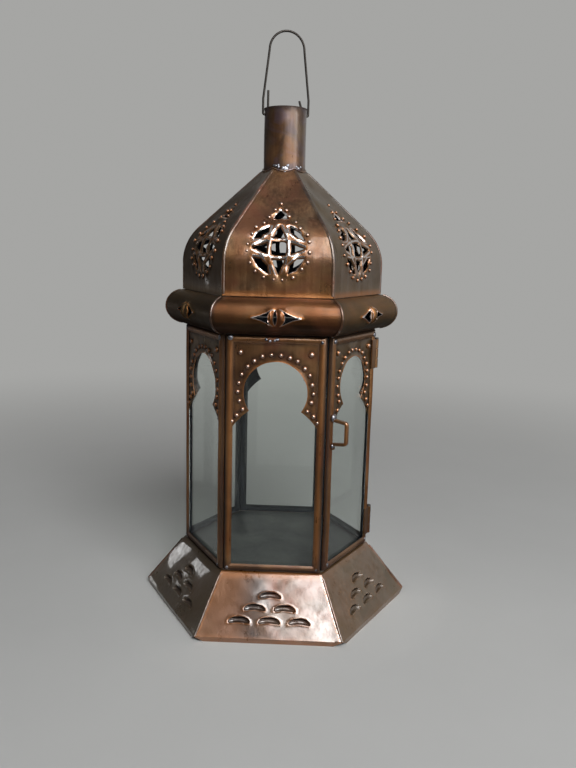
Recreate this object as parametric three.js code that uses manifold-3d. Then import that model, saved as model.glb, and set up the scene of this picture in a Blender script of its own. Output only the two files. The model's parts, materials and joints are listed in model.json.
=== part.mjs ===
// A six-sided glazed candle lantern in copper-washed iron sheet, hung from a wire bail.
// Millimetres, +Z up, origin at the middle of the footprint, front wall facing -Y.
// Every side is modelled once, facing -Y, and turned into place about the Z axis.
import * as THREE from "three";
import { mergeVertices } from "three/addons/utils/BufferGeometryUtils.js";
import Module from "manifold-3d";

// Sheet, seams and clearances
const SHEET = 0.5; // thickness of all sheet metal
const SEAM = 0.3; // gap between neighbouring pieces, where the solder runs
const SLIP = 0.2; // play of the glass and the arch plate in their channel

// Skirt: six sloping panels that the lantern stands on
const SKIRT_HEIGHT = 33.2;
const SKIRT_SPREAD = 21.4; // how far the foot stands out beyond the walls
const SKIRT_RIM = 2.4; // upright strip along the foot
const SKIRT_LEDGE = 8; // top edge turned in, which carries the walls and the floor
const SKIRT_FLANGE = 3; // side edges turned in along the hips
const SKIRT_CLIP = 5; // length cut off the rim at each corner
const CRESCENT_ROWS = 3; // rows of one, two, three crescents
const CRESCENT_WIDTH = 12.8;
const CRESCENT_RISE = 2.8; // height of the upper curve
const CRESCENT_OPENING = 1.6; // widest part of the slot
const CRESCENT_START = 10.9; // top edge of the skirt to the first row
const CRESCENT_ROW_PITCH = 7.1;
const CRESCENT_PITCH = 17.3;

// Walls: folded channel frames, each with a glass pane and a pierced arch plate
const WALL_APOTHEM = 51.4; // axis to the outer face
const WALL_HEIGHT = 139.3;
const CHANNEL_WIDTH = 4.4; // width of the channel seen from outside
const CHANNEL_FLAT = 0.4; // flat left along the middle of its rounded edge
const GLASS = 1.5; // thickness of the panes
const ARCH_RADIUS = 17.9;
const ARCH_DROP = 32.7; // top of the wall to the centre of the arch
const ARCH_CUSP = 35; // degrees below the centre where the arch meets its shoulders
const SHOULDER_FALL = 24; // centre of the arch to the feet of the shoulders
const SHOULDER_BULGE = 0.62; // 0.5 makes the shoulders straight
const DOOR_ARCH_RADIUS = 15.9; // the door's arch is narrower, higher and nearer the hinge
const DOOR_ARCH_DROP = 30;
const DOOR_ARCH_CUSP = 43;
const DOOR_ARCH_SET = 1;

// Door: the panel to the right of the front, hinged on its far edge
const DOOR_GAP = 0.5; // clearance above and below
const LATCH_GAP = 1.4; // clearance at the opening edge
const HINGE_HEIGHT = 18;
const HINGE_INSET = 15.5; // end of the wall to the middle of a hinge
const HINGE_LEAF = 6.5;
const PIN_DIAMETER = 1.6;
const PIN_PLAY = 0.2; // gap round the pin
const PIN_HEAD = 0.8; // height of its head
const PULL_DROP = 54.6; // top of the wall to the middle of the pull
const PULL_HEIGHT = 15.2;
const PULL_REACH = 10.5;
const PULL_STRIP = 1.5; // thickness of the strip
const PULL_WIDTH = 2.2;
const PULL_TAPER = 0.7; // how much each arm closes in towards the grip
const PULL_FOOT = 2.5; // length of the soldered feet

// Cornice roll: a half-round moulding with a pierced eye on each side
const ROLL_RADIUS = 10.3;
const ROLL_LIP = 3.6; // flat edges turned in above and below
const EYE_LENGTH = 24.6;
const EYE_HEIGHT = 9.2;
const LID_REACH = 5.6; // middle of the eye to the pull of its hollow lids
const LID_LIFT = 2.2; // height of that pull
const LEAF_ROOT = 1.8; // middle of the eye to the ends of a leaf
const LEAF_BELLY = 4.9; // middle of the eye to the back of a leaf
const LEAF_SLIT = 1.8; // gap between the two leaves

// Dome: upright sides, a round shoulder and a straight slope to the neck
const DOME_SET_OUT = 1.1; // how far its foot stands out beyond the walls
const DOME_CORNER = 28.5; // foot to the level where side and slope would meet
const DOME_SHOULDER = 30; // radius of the shoulder
const DOME_SLOPE = 46; // degrees above level
const MEDALLION_LEVEL = 26.5; // foot of the dome to the middle, along the sheet
const MEDALLION_RADIUS = 14.9;
const OVAL_HALF = 5.6; // half width of the two crossed ovals
const BAR = 2.8; // width of the bars that draw them
const WEB = 16; // middle of the medallion to the points of the web between the ovals
const CAP_GAP = 5.6; // medallion to the small triangle above it
const CAP_HEIGHT = 6.5;
const CAP_HALF = 4.2;

// Neck and bail
const NECK_RADIUS = 12.5;
const NECK_RISE = 36.1; // dome to the rim
const NECK_SOCKET = 4; // length inside the dome
const BAIL_WIRE = 1.3;
const BAIL_YAW = 12; // degrees that the bail's axis is turned from the front
const BAIL_DROP = 3.5; // rim to the holes
const BAIL_RISE = 46.5; // holes to the crown
const BAIL_SHOULDER_RISE = 36; // holes to the shoulders
const BAIL_SHOULDER_HALF = 10.2;
const BAIL_BEND = 0.9; // radius of the hooks' bends
const BAIL_PLAY = 0.3; // gap between wire and neck
const HOOK_LEFT = 13.5; // holes to the upturned left end
const HOOK_RIGHT = 8.5; // holes to the upturned right end

// Smoothness of curves
const ROUND_STEPS = 3; // per quarter of a channel edge
const CURVE_STEPS = 5; // per curve of a cut-out
const SHOULDER_STEPS = 6;
const ROLL_STEPS = 12;
const TUBE_SIDES = 32;
const PIN_SIDES = 12;
const WIRE_SIDES = 8;
const BEND_STEPS = 3;
const CROWN_STEPS = 12;
const WELD = 1e-4; // vertices nearer than this are one

// Levels and sizes that follow
const SIDE_NAMES = ["front", "front_right", "back_right", "back", "back_left", "front_left"];
const DOOR_SIDE = 1;
const HINGE_SIDE = 2;
const TURN = (2 * Math.PI) / SIDE_NAMES.length;
const HALF_TURN = TURN / 2;
const wallFoot = SKIRT_HEIGHT + SEAM;
const wallTop = wallFoot + WALL_HEIGHT;
const channelDepth = 2 * SHEET + SHEET + GLASS + 3 * SLIP;
const channelRound = (channelDepth - CHANNEL_FLAT) / 2;
const rollMiddle = wallTop + SEAM + ROLL_RADIUS;
const domeFoot = rollMiddle + ROLL_RADIUS + SEAM;
const domeApothem = WALL_APOTHEM + DOME_SET_OUT;
const domeSlope = THREE.MathUtils.degToRad(DOME_SLOPE);
const neckFoot = domeFoot + DOME_CORNER + (domeApothem - NECK_RADIUS) * Math.tan(domeSlope);
const neckTop = neckFoot + NECK_RISE;
const bailAxis = neckTop - BAIL_DROP;
const cornerReach = WALL_APOTHEM * Math.tan(HALF_TURN);
const beyond = 2 * (WALL_APOTHEM + SKIRT_SPREAD); // longer than any piece

const wasm = await Module();
wasm.setup();

// Closed geometry to a solid that can be joined and cut
function solid(geometry) {
  const bare = geometry.clone();
  bare.deleteAttribute("normal");
  bare.deleteAttribute("uv");
  const merged = mergeVertices(bare, WELD);
  const vertProperties = merged.getAttribute("position").array;
  const triVerts = Uint32Array.from(merged.index.array);
  return new wasm.Manifold(new wasm.Mesh({ numProp: 3, vertProperties, triVerts }));
}

// Solid back to geometry
function geometryOf(body) {
  const mesh = body.getMesh();
  const geometry = new THREE.BufferGeometry();
  geometry.setAttribute("position", new THREE.BufferAttribute(mesh.vertProperties, 3));
  geometry.setIndex(new THREE.BufferAttribute(mesh.triVerts, 1));
  geometry.computeVertexNormals();
  return geometry;
}

// Shape drawn as (distance from the axis, height), drawn out along the side
function drawnAlong(shape, length) {
  const geometry = new THREE.ExtrudeGeometry(shape, { depth: length, bevelEnabled: false });
  geometry.translate(0, 0, -length / 2);
  const out = new THREE.Vector3(0, -1, 0);
  const up = new THREE.Vector3(0, 0, 1);
  const along = new THREE.Vector3(-1, 0, 0);
  return geometry.applyMatrix4(new THREE.Matrix4().makeBasis(out, up, along));
}

// Shape drawn as seen from the front, made thick from an inner distance outwards
function drawnOutward(shape, inner, depth, options = {}) {
  const settings = { depth, bevelEnabled: false, curveSegments: CURVE_STEPS, ...options };
  const geometry = new THREE.ExtrudeGeometry(shape, settings);
  const right = new THREE.Vector3(1, 0, 0);
  const up = new THREE.Vector3(0, 0, 1);
  const out = new THREE.Vector3(0, -1, 0);
  geometry.applyMatrix4(new THREE.Matrix4().makeBasis(right, up, out));
  return geometry.translate(0, -inner, 0);
}

// Strip of sheet whose outer face follows the points, with its thickness on their right
function sheetStrip(points, thickness) {
  const normals = points.slice(1).map((end, i) => {
    const step = end.clone().sub(points[i]).normalize();
    return new THREE.Vector2(step.y, -step.x);
  });
  const inner = points.map((point, i) => {
    const before = normals[Math.max(i - 1, 0)];
    const after = normals[Math.min(i, normals.length - 1)];
    const mitre = before.clone().add(after).normalize();
    return point.clone().addScaledVector(mitre, thickness / mitre.dot(after));
  });
  return new THREE.Shape([...points, ...inner.reverse()]);
}

// Rectangle round a centre
function rectangle(width, height, x = 0, y = 0) {
  const shape = new THREE.Shape();
  shape.moveTo(x - width / 2, y - height / 2);
  shape.lineTo(x + width / 2, y - height / 2);
  shape.lineTo(x + width / 2, y + height / 2);
  shape.lineTo(x - width / 2, y + height / 2);
  return shape;
}

// Points of an arc, both ends included
function arcPoints(x, y, radius, from, to, steps) {
  const points = [];
  for (let i = 0; i <= steps; i++) {
    const angle = from + ((to - from) * i) / steps;
    points.push(new THREE.Vector2(x + radius * Math.cos(angle), y + radius * Math.sin(angle)));
  }
  return points;
}

// One sixth of the plan, held back from both mitre planes
function sector(gap) {
  const apex = gap / Math.sin(HALF_TURN);
  const spread = beyond * Math.tan(HALF_TURN);
  const shape = new THREE.Shape();
  shape.moveTo(0, -apex);
  shape.lineTo(-spread, -apex - beyond);
  shape.lineTo(spread, -apex - beyond);
  const depth = neckTop + 2 * beyond;
  const geometry = new THREE.ExtrudeGeometry(shape, { depth, bevelEnabled: false });
  return solid(geometry.translate(0, 0, -beyond));
}

// Crescent slot: the upper curve tops out at the origin
function crescentShape() {
  const half = CRESCENT_WIDTH / 2;
  const shape = new THREE.Shape();
  shape.moveTo(-half, -CRESCENT_RISE);
  shape.quadraticCurveTo(0, CRESCENT_RISE, half, -CRESCENT_RISE);
  shape.quadraticCurveTo(0, CRESCENT_RISE - 2 * CRESCENT_OPENING, -half, -CRESCENT_RISE);
  return shape;
}

// Skirt panel: ledge, slope and rim folded from one sheet, pierced and clipped
function skirtPanel() {
  const top = new THREE.Vector2(WALL_APOTHEM, SKIRT_HEIGHT);
  const foot = new THREE.Vector2(WALL_APOTHEM + SKIRT_SPREAD, SKIRT_RIM);
  const ledge = new THREE.Vector2(WALL_APOTHEM - SKIRT_LEDGE, SKIRT_HEIGHT);
  const rim = new THREE.Vector2(foot.x, 0);
  const slope = foot.clone().sub(top).normalize();
  const room = sector(SEAM / 2);
  const edges = room.subtract(sector(SEAM / 2 + SHEET));
  const panel = solid(drawnAlong(sheetStrip([ledge, top, foot, rim], SHEET), beyond));
  const flanges = solid(drawnAlong(sheetStrip([top, foot], SKIRT_FLANGE), beyond));
  let body = panel.intersect(room).add(flanges.intersect(edges));
  const right = new THREE.Vector3(1, 0, 0);
  const uphill = new THREE.Vector3(0, slope.x, -slope.y);
  const outward = new THREE.Vector3().crossVectors(right, uphill);
  const onSlope = new THREE.Matrix4().makeBasis(right, uphill, outward);
  onSlope.setPosition(0, -top.x, top.y);
  const depth = 4 * SHEET;
  const settings = { depth, bevelEnabled: false, curveSegments: CURVE_STEPS };
  for (let row = 0; row < CRESCENT_ROWS; row++) {
    for (let i = 0; i <= row; i++) {
      const slot = new THREE.ExtrudeGeometry(crescentShape(), settings);
      const x = (i - row / 2) * CRESCENT_PITCH;
      slot.translate(x, -CRESCENT_START - row * CRESCENT_ROW_PITCH, -depth / 2);
      body = body.subtract(solid(slot.applyMatrix4(onSlope)));
    }
  }
  const corner = foot.x * Math.tan(HALF_TURN);
  for (const side of [-1, 1]) {
    const clip = new THREE.Shape();
    clip.moveTo(side * (corner - SKIRT_CLIP), -SEAM);
    clip.lineTo(side * (corner + SKIRT_CLIP), -SEAM);
    clip.lineTo(side * corner, SKIRT_RIM);
    body = body.subtract(solid(drawnOutward(clip, 0, beyond)));
  }
  return geometryOf(body);
}

// Floor plate: drops in behind the wall frames and lies on the skirt's ledges
function floorPlate() {
  const reach = (WALL_APOTHEM - channelDepth - SEAM) / Math.cos(HALF_TURN);
  const corners = SIDE_NAMES.map((name, i) => {
    return new THREE.Vector2(reach * Math.cos(i * TURN), reach * Math.sin(i * TURN));
  });
  const plate = new THREE.Shape(corners);
  const geometry = new THREE.ExtrudeGeometry(plate, { depth: SHEET, bevelEnabled: false });
  return geometry.translate(0, 0, wallFoot);
}

// Slab with fully rounded edges, standing behind a face
function roundSlab(panel, inset, thickness, round) {
  const width = panel.width - 2 * (inset + round);
  const height = panel.height - 2 * (inset + round);
  const shape = rectangle(width, height, panel.x, panel.z);
  const flat = thickness - 2 * round;
  const options = {
    bevelEnabled: true,
    bevelThickness: round,
    bevelSize: round,
    bevelSegments: ROUND_STEPS,
  };
  const middle = WALL_APOTHEM - channelDepth / 2;
  return solid(drawnOutward(shape, middle - flat / 2, flat, options));
}

// Channel frame: a folded, round-backed channel mitred round the pane
function channelFrame(panel) {
  const outer = roundSlab(panel, 0, channelDepth, channelRound);
  const slot = roundSlab(panel, SHEET, channelDepth - 2 * SHEET, channelRound - SHEET);
  const opening = { width: panel.width - 2 * CHANNEL_WIDTH, height: panel.height - 2 * CHANNEL_WIDTH };
  const window = rectangle(opening.width, opening.height, panel.x, panel.z);
  return geometryOf(outer.subtract(slot).subtract(solid(drawnOutward(window, 0, beyond))));
}

// Edges of the pane and the arch plate inside the channel
function paneInset() {
  return channelRound + SLIP;
}

// Glass pane: lies behind the arch plate
function glassPane(panel) {
  const inset = paneInset();
  const shape = rectangle(panel.width - 2 * inset, panel.height - 2 * inset, panel.x, panel.z);
  return drawnOutward(shape, WALL_APOTHEM - channelDepth + SHEET + SLIP, GLASS);
}

// Arch plate: fills the top of the panel round a keyhole arch with sloping shoulders
function archPlate(panel, arch) {
  const inset = paneInset();
  const top = panel.z + panel.height / 2 - inset;
  const left = panel.x - panel.width / 2 + inset;
  const right = panel.x + panel.width / 2 - inset;
  const cusp = THREE.MathUtils.degToRad(arch.cusp);
  const leftCusp = arch.x - arch.radius * Math.cos(cusp);
  const rightCusp = arch.x + arch.radius * Math.cos(cusp);
  const cuspZ = arch.z - arch.radius * Math.sin(cusp);
  const foot = wallTop - ARCH_DROP - SHOULDER_FALL;
  const bendZ = THREE.MathUtils.lerp(foot, cuspZ, SHOULDER_BULGE);
  const shape = new THREE.Shape();
  shape.moveTo(left, foot);
  shape.lineTo(left, top);
  shape.lineTo(right, top);
  shape.lineTo(right, foot);
  shape.quadraticCurveTo(THREE.MathUtils.lerp(rightCusp, right, SHOULDER_BULGE), bendZ, rightCusp, cuspZ);
  shape.absarc(arch.x, arch.z, arch.radius, -cusp, Math.PI + cusp, false);
  shape.quadraticCurveTo(THREE.MathUtils.lerp(leftCusp, left, SHOULDER_BULGE), bendZ, left, foot);
  return drawnOutward(shape, WALL_APOTHEM - 2 * SHEET - SLIP, SHEET, { curveSegments: 2 * CURVE_STEPS });
}

// Hinge leaf: a plate on the face with some of the three knuckles of its hinge
function hingeLeaf(direction, knuckles) {
  const bore = PIN_DIAMETER / 2 + PIN_PLAY;
  const barrel = bore + SHEET;
  const third = HINGE_HEIGHT / 3;
  const clear = barrel + SEAM;
  const plate = new THREE.BoxGeometry(HINGE_LEAF - clear, SHEET, HINGE_HEIGHT);
  const proud = -SEAM - SHEET / 2;
  let body = solid(plate.translate((direction * (HINGE_LEAF + clear)) / 2, proud, 0));
  for (const knuckle of knuckles) {
    const level = (knuckle - 1) * third;
    const height = third - SEAM;
    const tongue = new THREE.BoxGeometry(clear + SHEET, SHEET, height);
    const roll = new THREE.CylinderGeometry(barrel, barrel, height, PIN_SIDES);
    roll.rotateX(Math.PI / 2);
    body = body.add(solid(tongue.translate((direction * (clear + SHEET)) / 2, proud, level)));
    body = body.add(solid(roll.translate(0, 0, level)));
  }
  const hole = new THREE.CylinderGeometry(bore, bore, 2 * HINGE_HEIGHT, PIN_SIDES);
  return geometryOf(body.subtract(solid(hole.rotateX(Math.PI / 2))));
}

// Hinge pin: a plain pin with a flat head above the top knuckle
function hingePin() {
  const radius = PIN_DIAMETER / 2;
  const head = radius + PIN_PLAY + SHEET;
  const seat = HINGE_HEIGHT / 2 + SEAM / 2;
  const profile = [
    new THREE.Vector2(0, -HINGE_HEIGHT / 2),
    new THREE.Vector2(radius, -HINGE_HEIGHT / 2),
    new THREE.Vector2(radius, seat),
    new THREE.Vector2(head, seat),
    new THREE.Vector2(head, seat + PIN_HEAD),
    new THREE.Vector2(0, seat + PIN_HEAD),
  ];
  return new THREE.LatheGeometry(profile, PIN_SIDES).rotateX(Math.PI / 2);
}

// Door pull: a strip bent into a flat loop, with two feet on the stile
function doorPull() {
  const seat = SEAM + PULL_STRIP;
  const high = PULL_HEIGHT / 2;
  const grip = high - PULL_TAPER;
  const face = [
    new THREE.Vector2(seat, high + PULL_FOOT),
    new THREE.Vector2(seat, high),
    new THREE.Vector2(PULL_REACH, grip),
    new THREE.Vector2(PULL_REACH, -grip),
    new THREE.Vector2(seat, -high),
    new THREE.Vector2(seat, -high - PULL_FOOT),
  ];
  return drawnAlong(sheetStrip(face, PULL_STRIP), PULL_WIDTH);
}

// Pointed oval between two tips on the vertical through its middle
function pointedOval(halfLength, halfWidth) {
  const shape = new THREE.Shape();
  shape.moveTo(0, halfLength);
  shape.quadraticCurveTo(-2 * halfWidth, 0, 0, -halfLength);
  shape.quadraticCurveTo(2 * halfWidth, 0, 0, halfLength);
  return shape;
}

// Outer opening of the eye, between its point and the back of a leaf
function eyeCorner(side) {
  const tip = (side * EYE_LENGTH) / 2;
  const root = side * LEAF_ROOT;
  const high = EYE_HEIGHT / 2;
  const shape = new THREE.Shape();
  shape.moveTo(tip, 0);
  shape.quadraticCurveTo(side * LID_REACH, LID_LIFT, root, high);
  shape.quadraticCurveTo(side * (2 * LEAF_BELLY - LEAF_ROOT), 0, root, -high);
  shape.quadraticCurveTo(side * LID_REACH, -LID_LIFT, tip, 0);
  return shape;
}

// Cornice roll: half-round with turned-in lips, its eye pierced as two leaves
function corniceRoll() {
  const quarter = Math.PI / 2;
  const crown = arcPoints(WALL_APOTHEM, rollMiddle, ROLL_RADIUS, quarter, -quarter, ROLL_STEPS);
  const lip = WALL_APOTHEM - ROLL_LIP;
  const upper = new THREE.Vector2(lip, rollMiddle + ROLL_RADIUS);
  const lower = new THREE.Vector2(lip, rollMiddle - ROLL_RADIUS);
  const strip = sheetStrip([upper, ...crown, lower], SHEET);
  let body = solid(drawnAlong(strip, beyond)).intersect(sector(SEAM / 2));
  const slit = pointedOval(EYE_HEIGHT / 2, LEAF_SLIT / 2);
  for (const shape of [eyeCorner(-1), slit, eyeCorner(1)]) {
    const cut = drawnOutward(shape, WALL_APOTHEM, 2 * ROLL_RADIUS);
    body = body.subtract(solid(cut.translate(0, 0, rollMiddle)));
  }
  return geometryOf(body);
}

// Dome profile: points of the outer face from the neck down to the foot
function domeProfile() {
  const bend = Math.PI / 2 - domeSlope;
  const tangent = DOME_SHOULDER * Math.tan(bend / 2);
  const corner = domeFoot + DOME_CORNER;
  const inside = NECK_RADIUS * Math.cos(HALF_TURN) - SEAM;
  const peak = new THREE.Vector2(inside, corner + (domeApothem - inside) * Math.tan(domeSlope));
  const centre = new THREE.Vector2(domeApothem - DOME_SHOULDER, corner - tangent);
  const shoulder = arcPoints(centre.x, centre.y, DOME_SHOULDER, bend, 0, SHOULDER_STEPS);
  return [peak, ...shoulder, new THREE.Vector2(domeApothem, domeFoot)];
}

// Height of the outer face at a distance from the foot, measured along the sheet
function domeHeight(distance) {
  const upward = domeProfile().reverse();
  let left = distance;
  for (let i = 1; i < upward.length; i++) {
    const length = upward[i].distanceTo(upward[i - 1]);
    if (left <= length || i === upward.length - 1) {
      return THREE.MathUtils.lerp(upward[i - 1].y, upward[i].y, left / length);
    }
    left -= length;
  }
}

// Cutter that goes through the petal, from a shape drawn on its flat pattern
function petalCutter(shape) {
  const points = shape.getPoints(CURVE_STEPS).map((p) => {
    return new THREE.Vector2(p.x, domeHeight(MEDALLION_LEVEL + p.y));
  });
  return solid(drawnOutward(new THREE.Shape(points), 0, beyond));
}

// Pointed oval on the petal, upright or lying, grown by a margin
function ovalCutter(margin, lying) {
  const shape = pointedOval(MEDALLION_RADIUS + 2 * margin, OVAL_HALF + margin);
  const points = shape.getPoints(CURVE_STEPS);
  return petalCutter(new THREE.Shape(points.map((p) => (lying ? new THREE.Vector2(p.y, -p.x) : p))));
}

// Metal left in the medallion: the bars of two crossed ovals and the web between them
function medallionMetal() {
  const corners = [
    new THREE.Vector2(WEB, 0),
    new THREE.Vector2(0, WEB),
    new THREE.Vector2(-WEB, 0),
    new THREE.Vector2(0, -WEB),
  ];
  const [upright, lying] = [false, true].map((way) => ovalCutter(BAR / 2, way));
  const web = petalCutter(new THREE.Shape(corners)).subtract(upright).subtract(lying);
  const uprightBars = upright.subtract(ovalCutter(-BAR / 2, false));
  const lyingBars = lying.subtract(ovalCutter(-BAR / 2, true));
  return web.add(uprightBars).add(lyingBars);
}

// Dome petal: bent to the profile, mitred, pierced and fitted round the neck
function domePetal() {
  const strip = sheetStrip(domeProfile(), SHEET);
  let body = solid(drawnAlong(strip, beyond)).intersect(sector(SEAM / 2));
  const disc = new THREE.Shape();
  disc.absarc(0, 0, MEDALLION_RADIUS, 0, 2 * Math.PI, false);
  const rounds = new THREE.Shape(disc.getPoints(2 * CURVE_STEPS).slice(0, -1));
  body = body.subtract(petalCutter(rounds).subtract(medallionMetal()));
  const cap = new THREE.Shape();
  const base = MEDALLION_RADIUS + CAP_GAP;
  cap.moveTo(-CAP_HALF, base);
  cap.lineTo(CAP_HALF, base);
  cap.lineTo(0, base + CAP_HEIGHT);
  body = body.subtract(petalCutter(cap));
  const hole = new THREE.CylinderGeometry(NECK_RADIUS + SEAM, NECK_RADIUS + SEAM, beyond, TUBE_SIDES);
  hole.rotateX(Math.PI / 2).translate(0, 0, neckFoot);
  return geometryOf(body.subtract(solid(hole)));
}

// Neck tube: an open tube with a hole through each side for the bail
function neckTube() {
  const inner = NECK_RADIUS - SHEET;
  const foot = neckFoot - NECK_SOCKET;
  const profile = [
    new THREE.Vector2(inner, foot),
    new THREE.Vector2(NECK_RADIUS, foot),
    new THREE.Vector2(NECK_RADIUS, neckTop),
    new THREE.Vector2(inner, neckTop),
    new THREE.Vector2(inner, foot),
  ];
  const tube = new THREE.LatheGeometry(profile, TUBE_SIDES).rotateX(Math.PI / 2);
  const bore = BAIL_WIRE / 2 + BAIL_PLAY;
  const hole = new THREE.CylinderGeometry(bore, bore, beyond, PIN_SIDES);
  hole.rotateZ(Math.PI / 2).translate(0, 0, bailAxis);
  return geometryOf(solid(tube).subtract(solid(hole)));
}

// Curve stepped evenly from point to point, so that short bends keep their points
class WireCurve extends THREE.CatmullRomCurve3 {
  getUtoTmapping(share) {
    return share;
  }
}

// Bail: hooked through the neck, up two straight legs and over a round crown
function bail() {
  const wire = BAIL_WIRE / 2;
  const outer = NECK_RADIUS + BAIL_PLAY + wire;
  const inner = outer - SHEET - 2 * (BAIL_PLAY + BAIL_BEND);
  const quarter = Math.PI / 2;
  const rise = BAIL_RISE - BAIL_SHOULDER_RISE;
  const bends = [
    ...arcPoints(-inner - BAIL_BEND, BAIL_BEND, BAIL_BEND, 0, -quarter, BEND_STEPS),
    ...arcPoints(-outer + BAIL_BEND, BAIL_BEND, BAIL_BEND, -quarter, -2 * quarter, BEND_STEPS),
  ];
  const crown = arcPoints(0, 0, 1, 2 * quarter, 0, CROWN_STEPS).map((p) => {
    return new THREE.Vector2(p.x * BAIL_SHOULDER_HALF, BAIL_SHOULDER_RISE + p.y * rise);
  });
  const mirrored = bends.map((p) => new THREE.Vector2(-p.x, p.y)).reverse();
  const leftEnd = new THREE.Vector2(-inner, HOOK_LEFT);
  const rightEnd = new THREE.Vector2(inner, HOOK_RIGHT);
  const drawn = [leftEnd, ...bends, ...crown, ...mirrored, rightEnd];
  const route = drawn.map((p) => new THREE.Vector3(p.x, 0, p.y));
  const section = new THREE.Shape().absarc(0, 0, wire, 0, 2 * Math.PI, false);
  return new THREE.ExtrudeGeometry(section, {
    steps: route.length - 1,
    extrudePath: new WireCurve(route),
    curveSegments: WIRE_SIDES / 2,
  });
}

// Materials
const copper = new THREE.MeshStandardMaterial({ color: 0x8a5535, roughness: 0.38, metalness: 0.9 });
const darkCopper = new THREE.MeshStandardMaterial({ color: 0x4d3a30, roughness: 0.5, metalness: 0.8 });
const wireSteel = new THREE.MeshStandardMaterial({ color: 0x4a4440, roughness: 0.5, metalness: 0.9 });
const glass = new THREE.MeshStandardMaterial({
  color: 0xd5dfd9,
  roughness: 0.05,
  metalness: 0,
  transparent: true,
  opacity: 0.25,
});

// Named mesh added to a group
function add(group, name, geometry, material) {
  const mesh = new THREE.Mesh(geometry, material);
  mesh.name = name;
  group.add(mesh);
  return mesh;
}

// Outer size of a wall panel, wide enough to keep a seam to its neighbours' rounded edges
const roundCentre = (WALL_APOTHEM - channelDepth / 2) * Math.sin(HALF_TURN) - channelRound - SEAM / 2;
const wallHalf = roundCentre / Math.cos(HALF_TURN) + channelRound;
const wallPanel = { x: 0, z: wallFoot + WALL_HEIGHT / 2, width: 2 * wallHalf, height: WALL_HEIGHT };
const doorPanel = {
  x: LATCH_GAP / 2,
  z: wallPanel.z,
  width: wallPanel.width - LATCH_GAP,
  height: WALL_HEIGHT - 2 * DOOR_GAP,
};

const wallArch = { x: 0, z: wallTop - ARCH_DROP, radius: ARCH_RADIUS, cusp: ARCH_CUSP };
const doorArch = {
  x: DOOR_ARCH_SET,
  z: wallTop - DOOR_ARCH_DROP,
  radius: DOOR_ARCH_RADIUS,
  cusp: DOOR_ARCH_CUSP,
};

const lantern = new THREE.Group();
const sides = SIDE_NAMES.map((name, i) => {
  const side = new THREE.Group();
  side.rotation.z = i * TURN;
  lantern.add(side);
  return side;
});

add(lantern, "floor_plate", floorPlate(), darkCopper);

const shared = {
  skirt: skirtPanel(),
  roll: corniceRoll(),
  petal: domePetal(),
  frame: channelFrame(wallPanel),
  pane: glassPane(wallPanel),
  arch: archPlate(wallPanel, wallArch),
};
SIDE_NAMES.forEach((name, i) => {
  add(sides[i], `skirt_panel_${name}`, shared.skirt, copper);
  add(sides[i], `cornice_roll_${name}`, shared.roll, copper);
  add(sides[i], `dome_petal_${name}`, shared.petal, copper);
  if (i !== DOOR_SIDE) {
    add(sides[i], `wall_frame_${name}`, shared.frame, copper);
    add(sides[i], `glass_pane_${name}`, shared.pane, glass);
    add(sides[i], `arch_plate_${name}`, shared.arch, copper);
  }
});

const doorSide = sides[DOOR_SIDE];
add(doorSide, "door_frame", channelFrame(doorPanel), copper);
add(doorSide, "door_glass_pane", glassPane(doorPanel), glass);
add(doorSide, "door_arch_plate", archPlate(doorPanel, doorArch), copper);
const pull = add(doorSide, "door_pull", doorPull(), copper);
const latchStile = doorPanel.x - doorPanel.width / 2 + CHANNEL_WIDTH / 2;
pull.position.set(latchStile, -WALL_APOTHEM, wallTop - PULL_DROP);

const hinges = { lower: wallFoot + HINGE_INSET, upper: wallTop - HINGE_INSET };
for (const [place, level] of Object.entries(hinges)) {
  const doorLeaf = add(doorSide, `${place}_hinge_door_leaf`, hingeLeaf(-1, [1]), copper);
  const wallLeaf = add(sides[HINGE_SIDE], `${place}_hinge_wall_leaf`, hingeLeaf(1, [0, 2]), copper);
  const pin = add(doorSide, `${place}_hinge_pin`, hingePin(), wireSteel);
  doorLeaf.position.set(cornerReach, -WALL_APOTHEM, level);
  wallLeaf.position.set(-cornerReach, -WALL_APOTHEM, level);
  pin.position.copy(doorLeaf.position);
}

const top = new THREE.Group();
top.rotation.z = THREE.MathUtils.degToRad(BAIL_YAW);
lantern.add(top);
add(top, "neck_tube", neckTube(), copper);
const handle = add(top, "bail", bail(), wireSteel);
handle.position.z = bailAxis;

export default lantern;
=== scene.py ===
# %% [markdown]
# # A pierced lantern in copper-washed iron
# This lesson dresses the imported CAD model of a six-sided hanging lantern. The solids
# already hold every place and size, so each step asks the frame where a piece sits,
# makes a finer one in its place, and says which body carries it.

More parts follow.
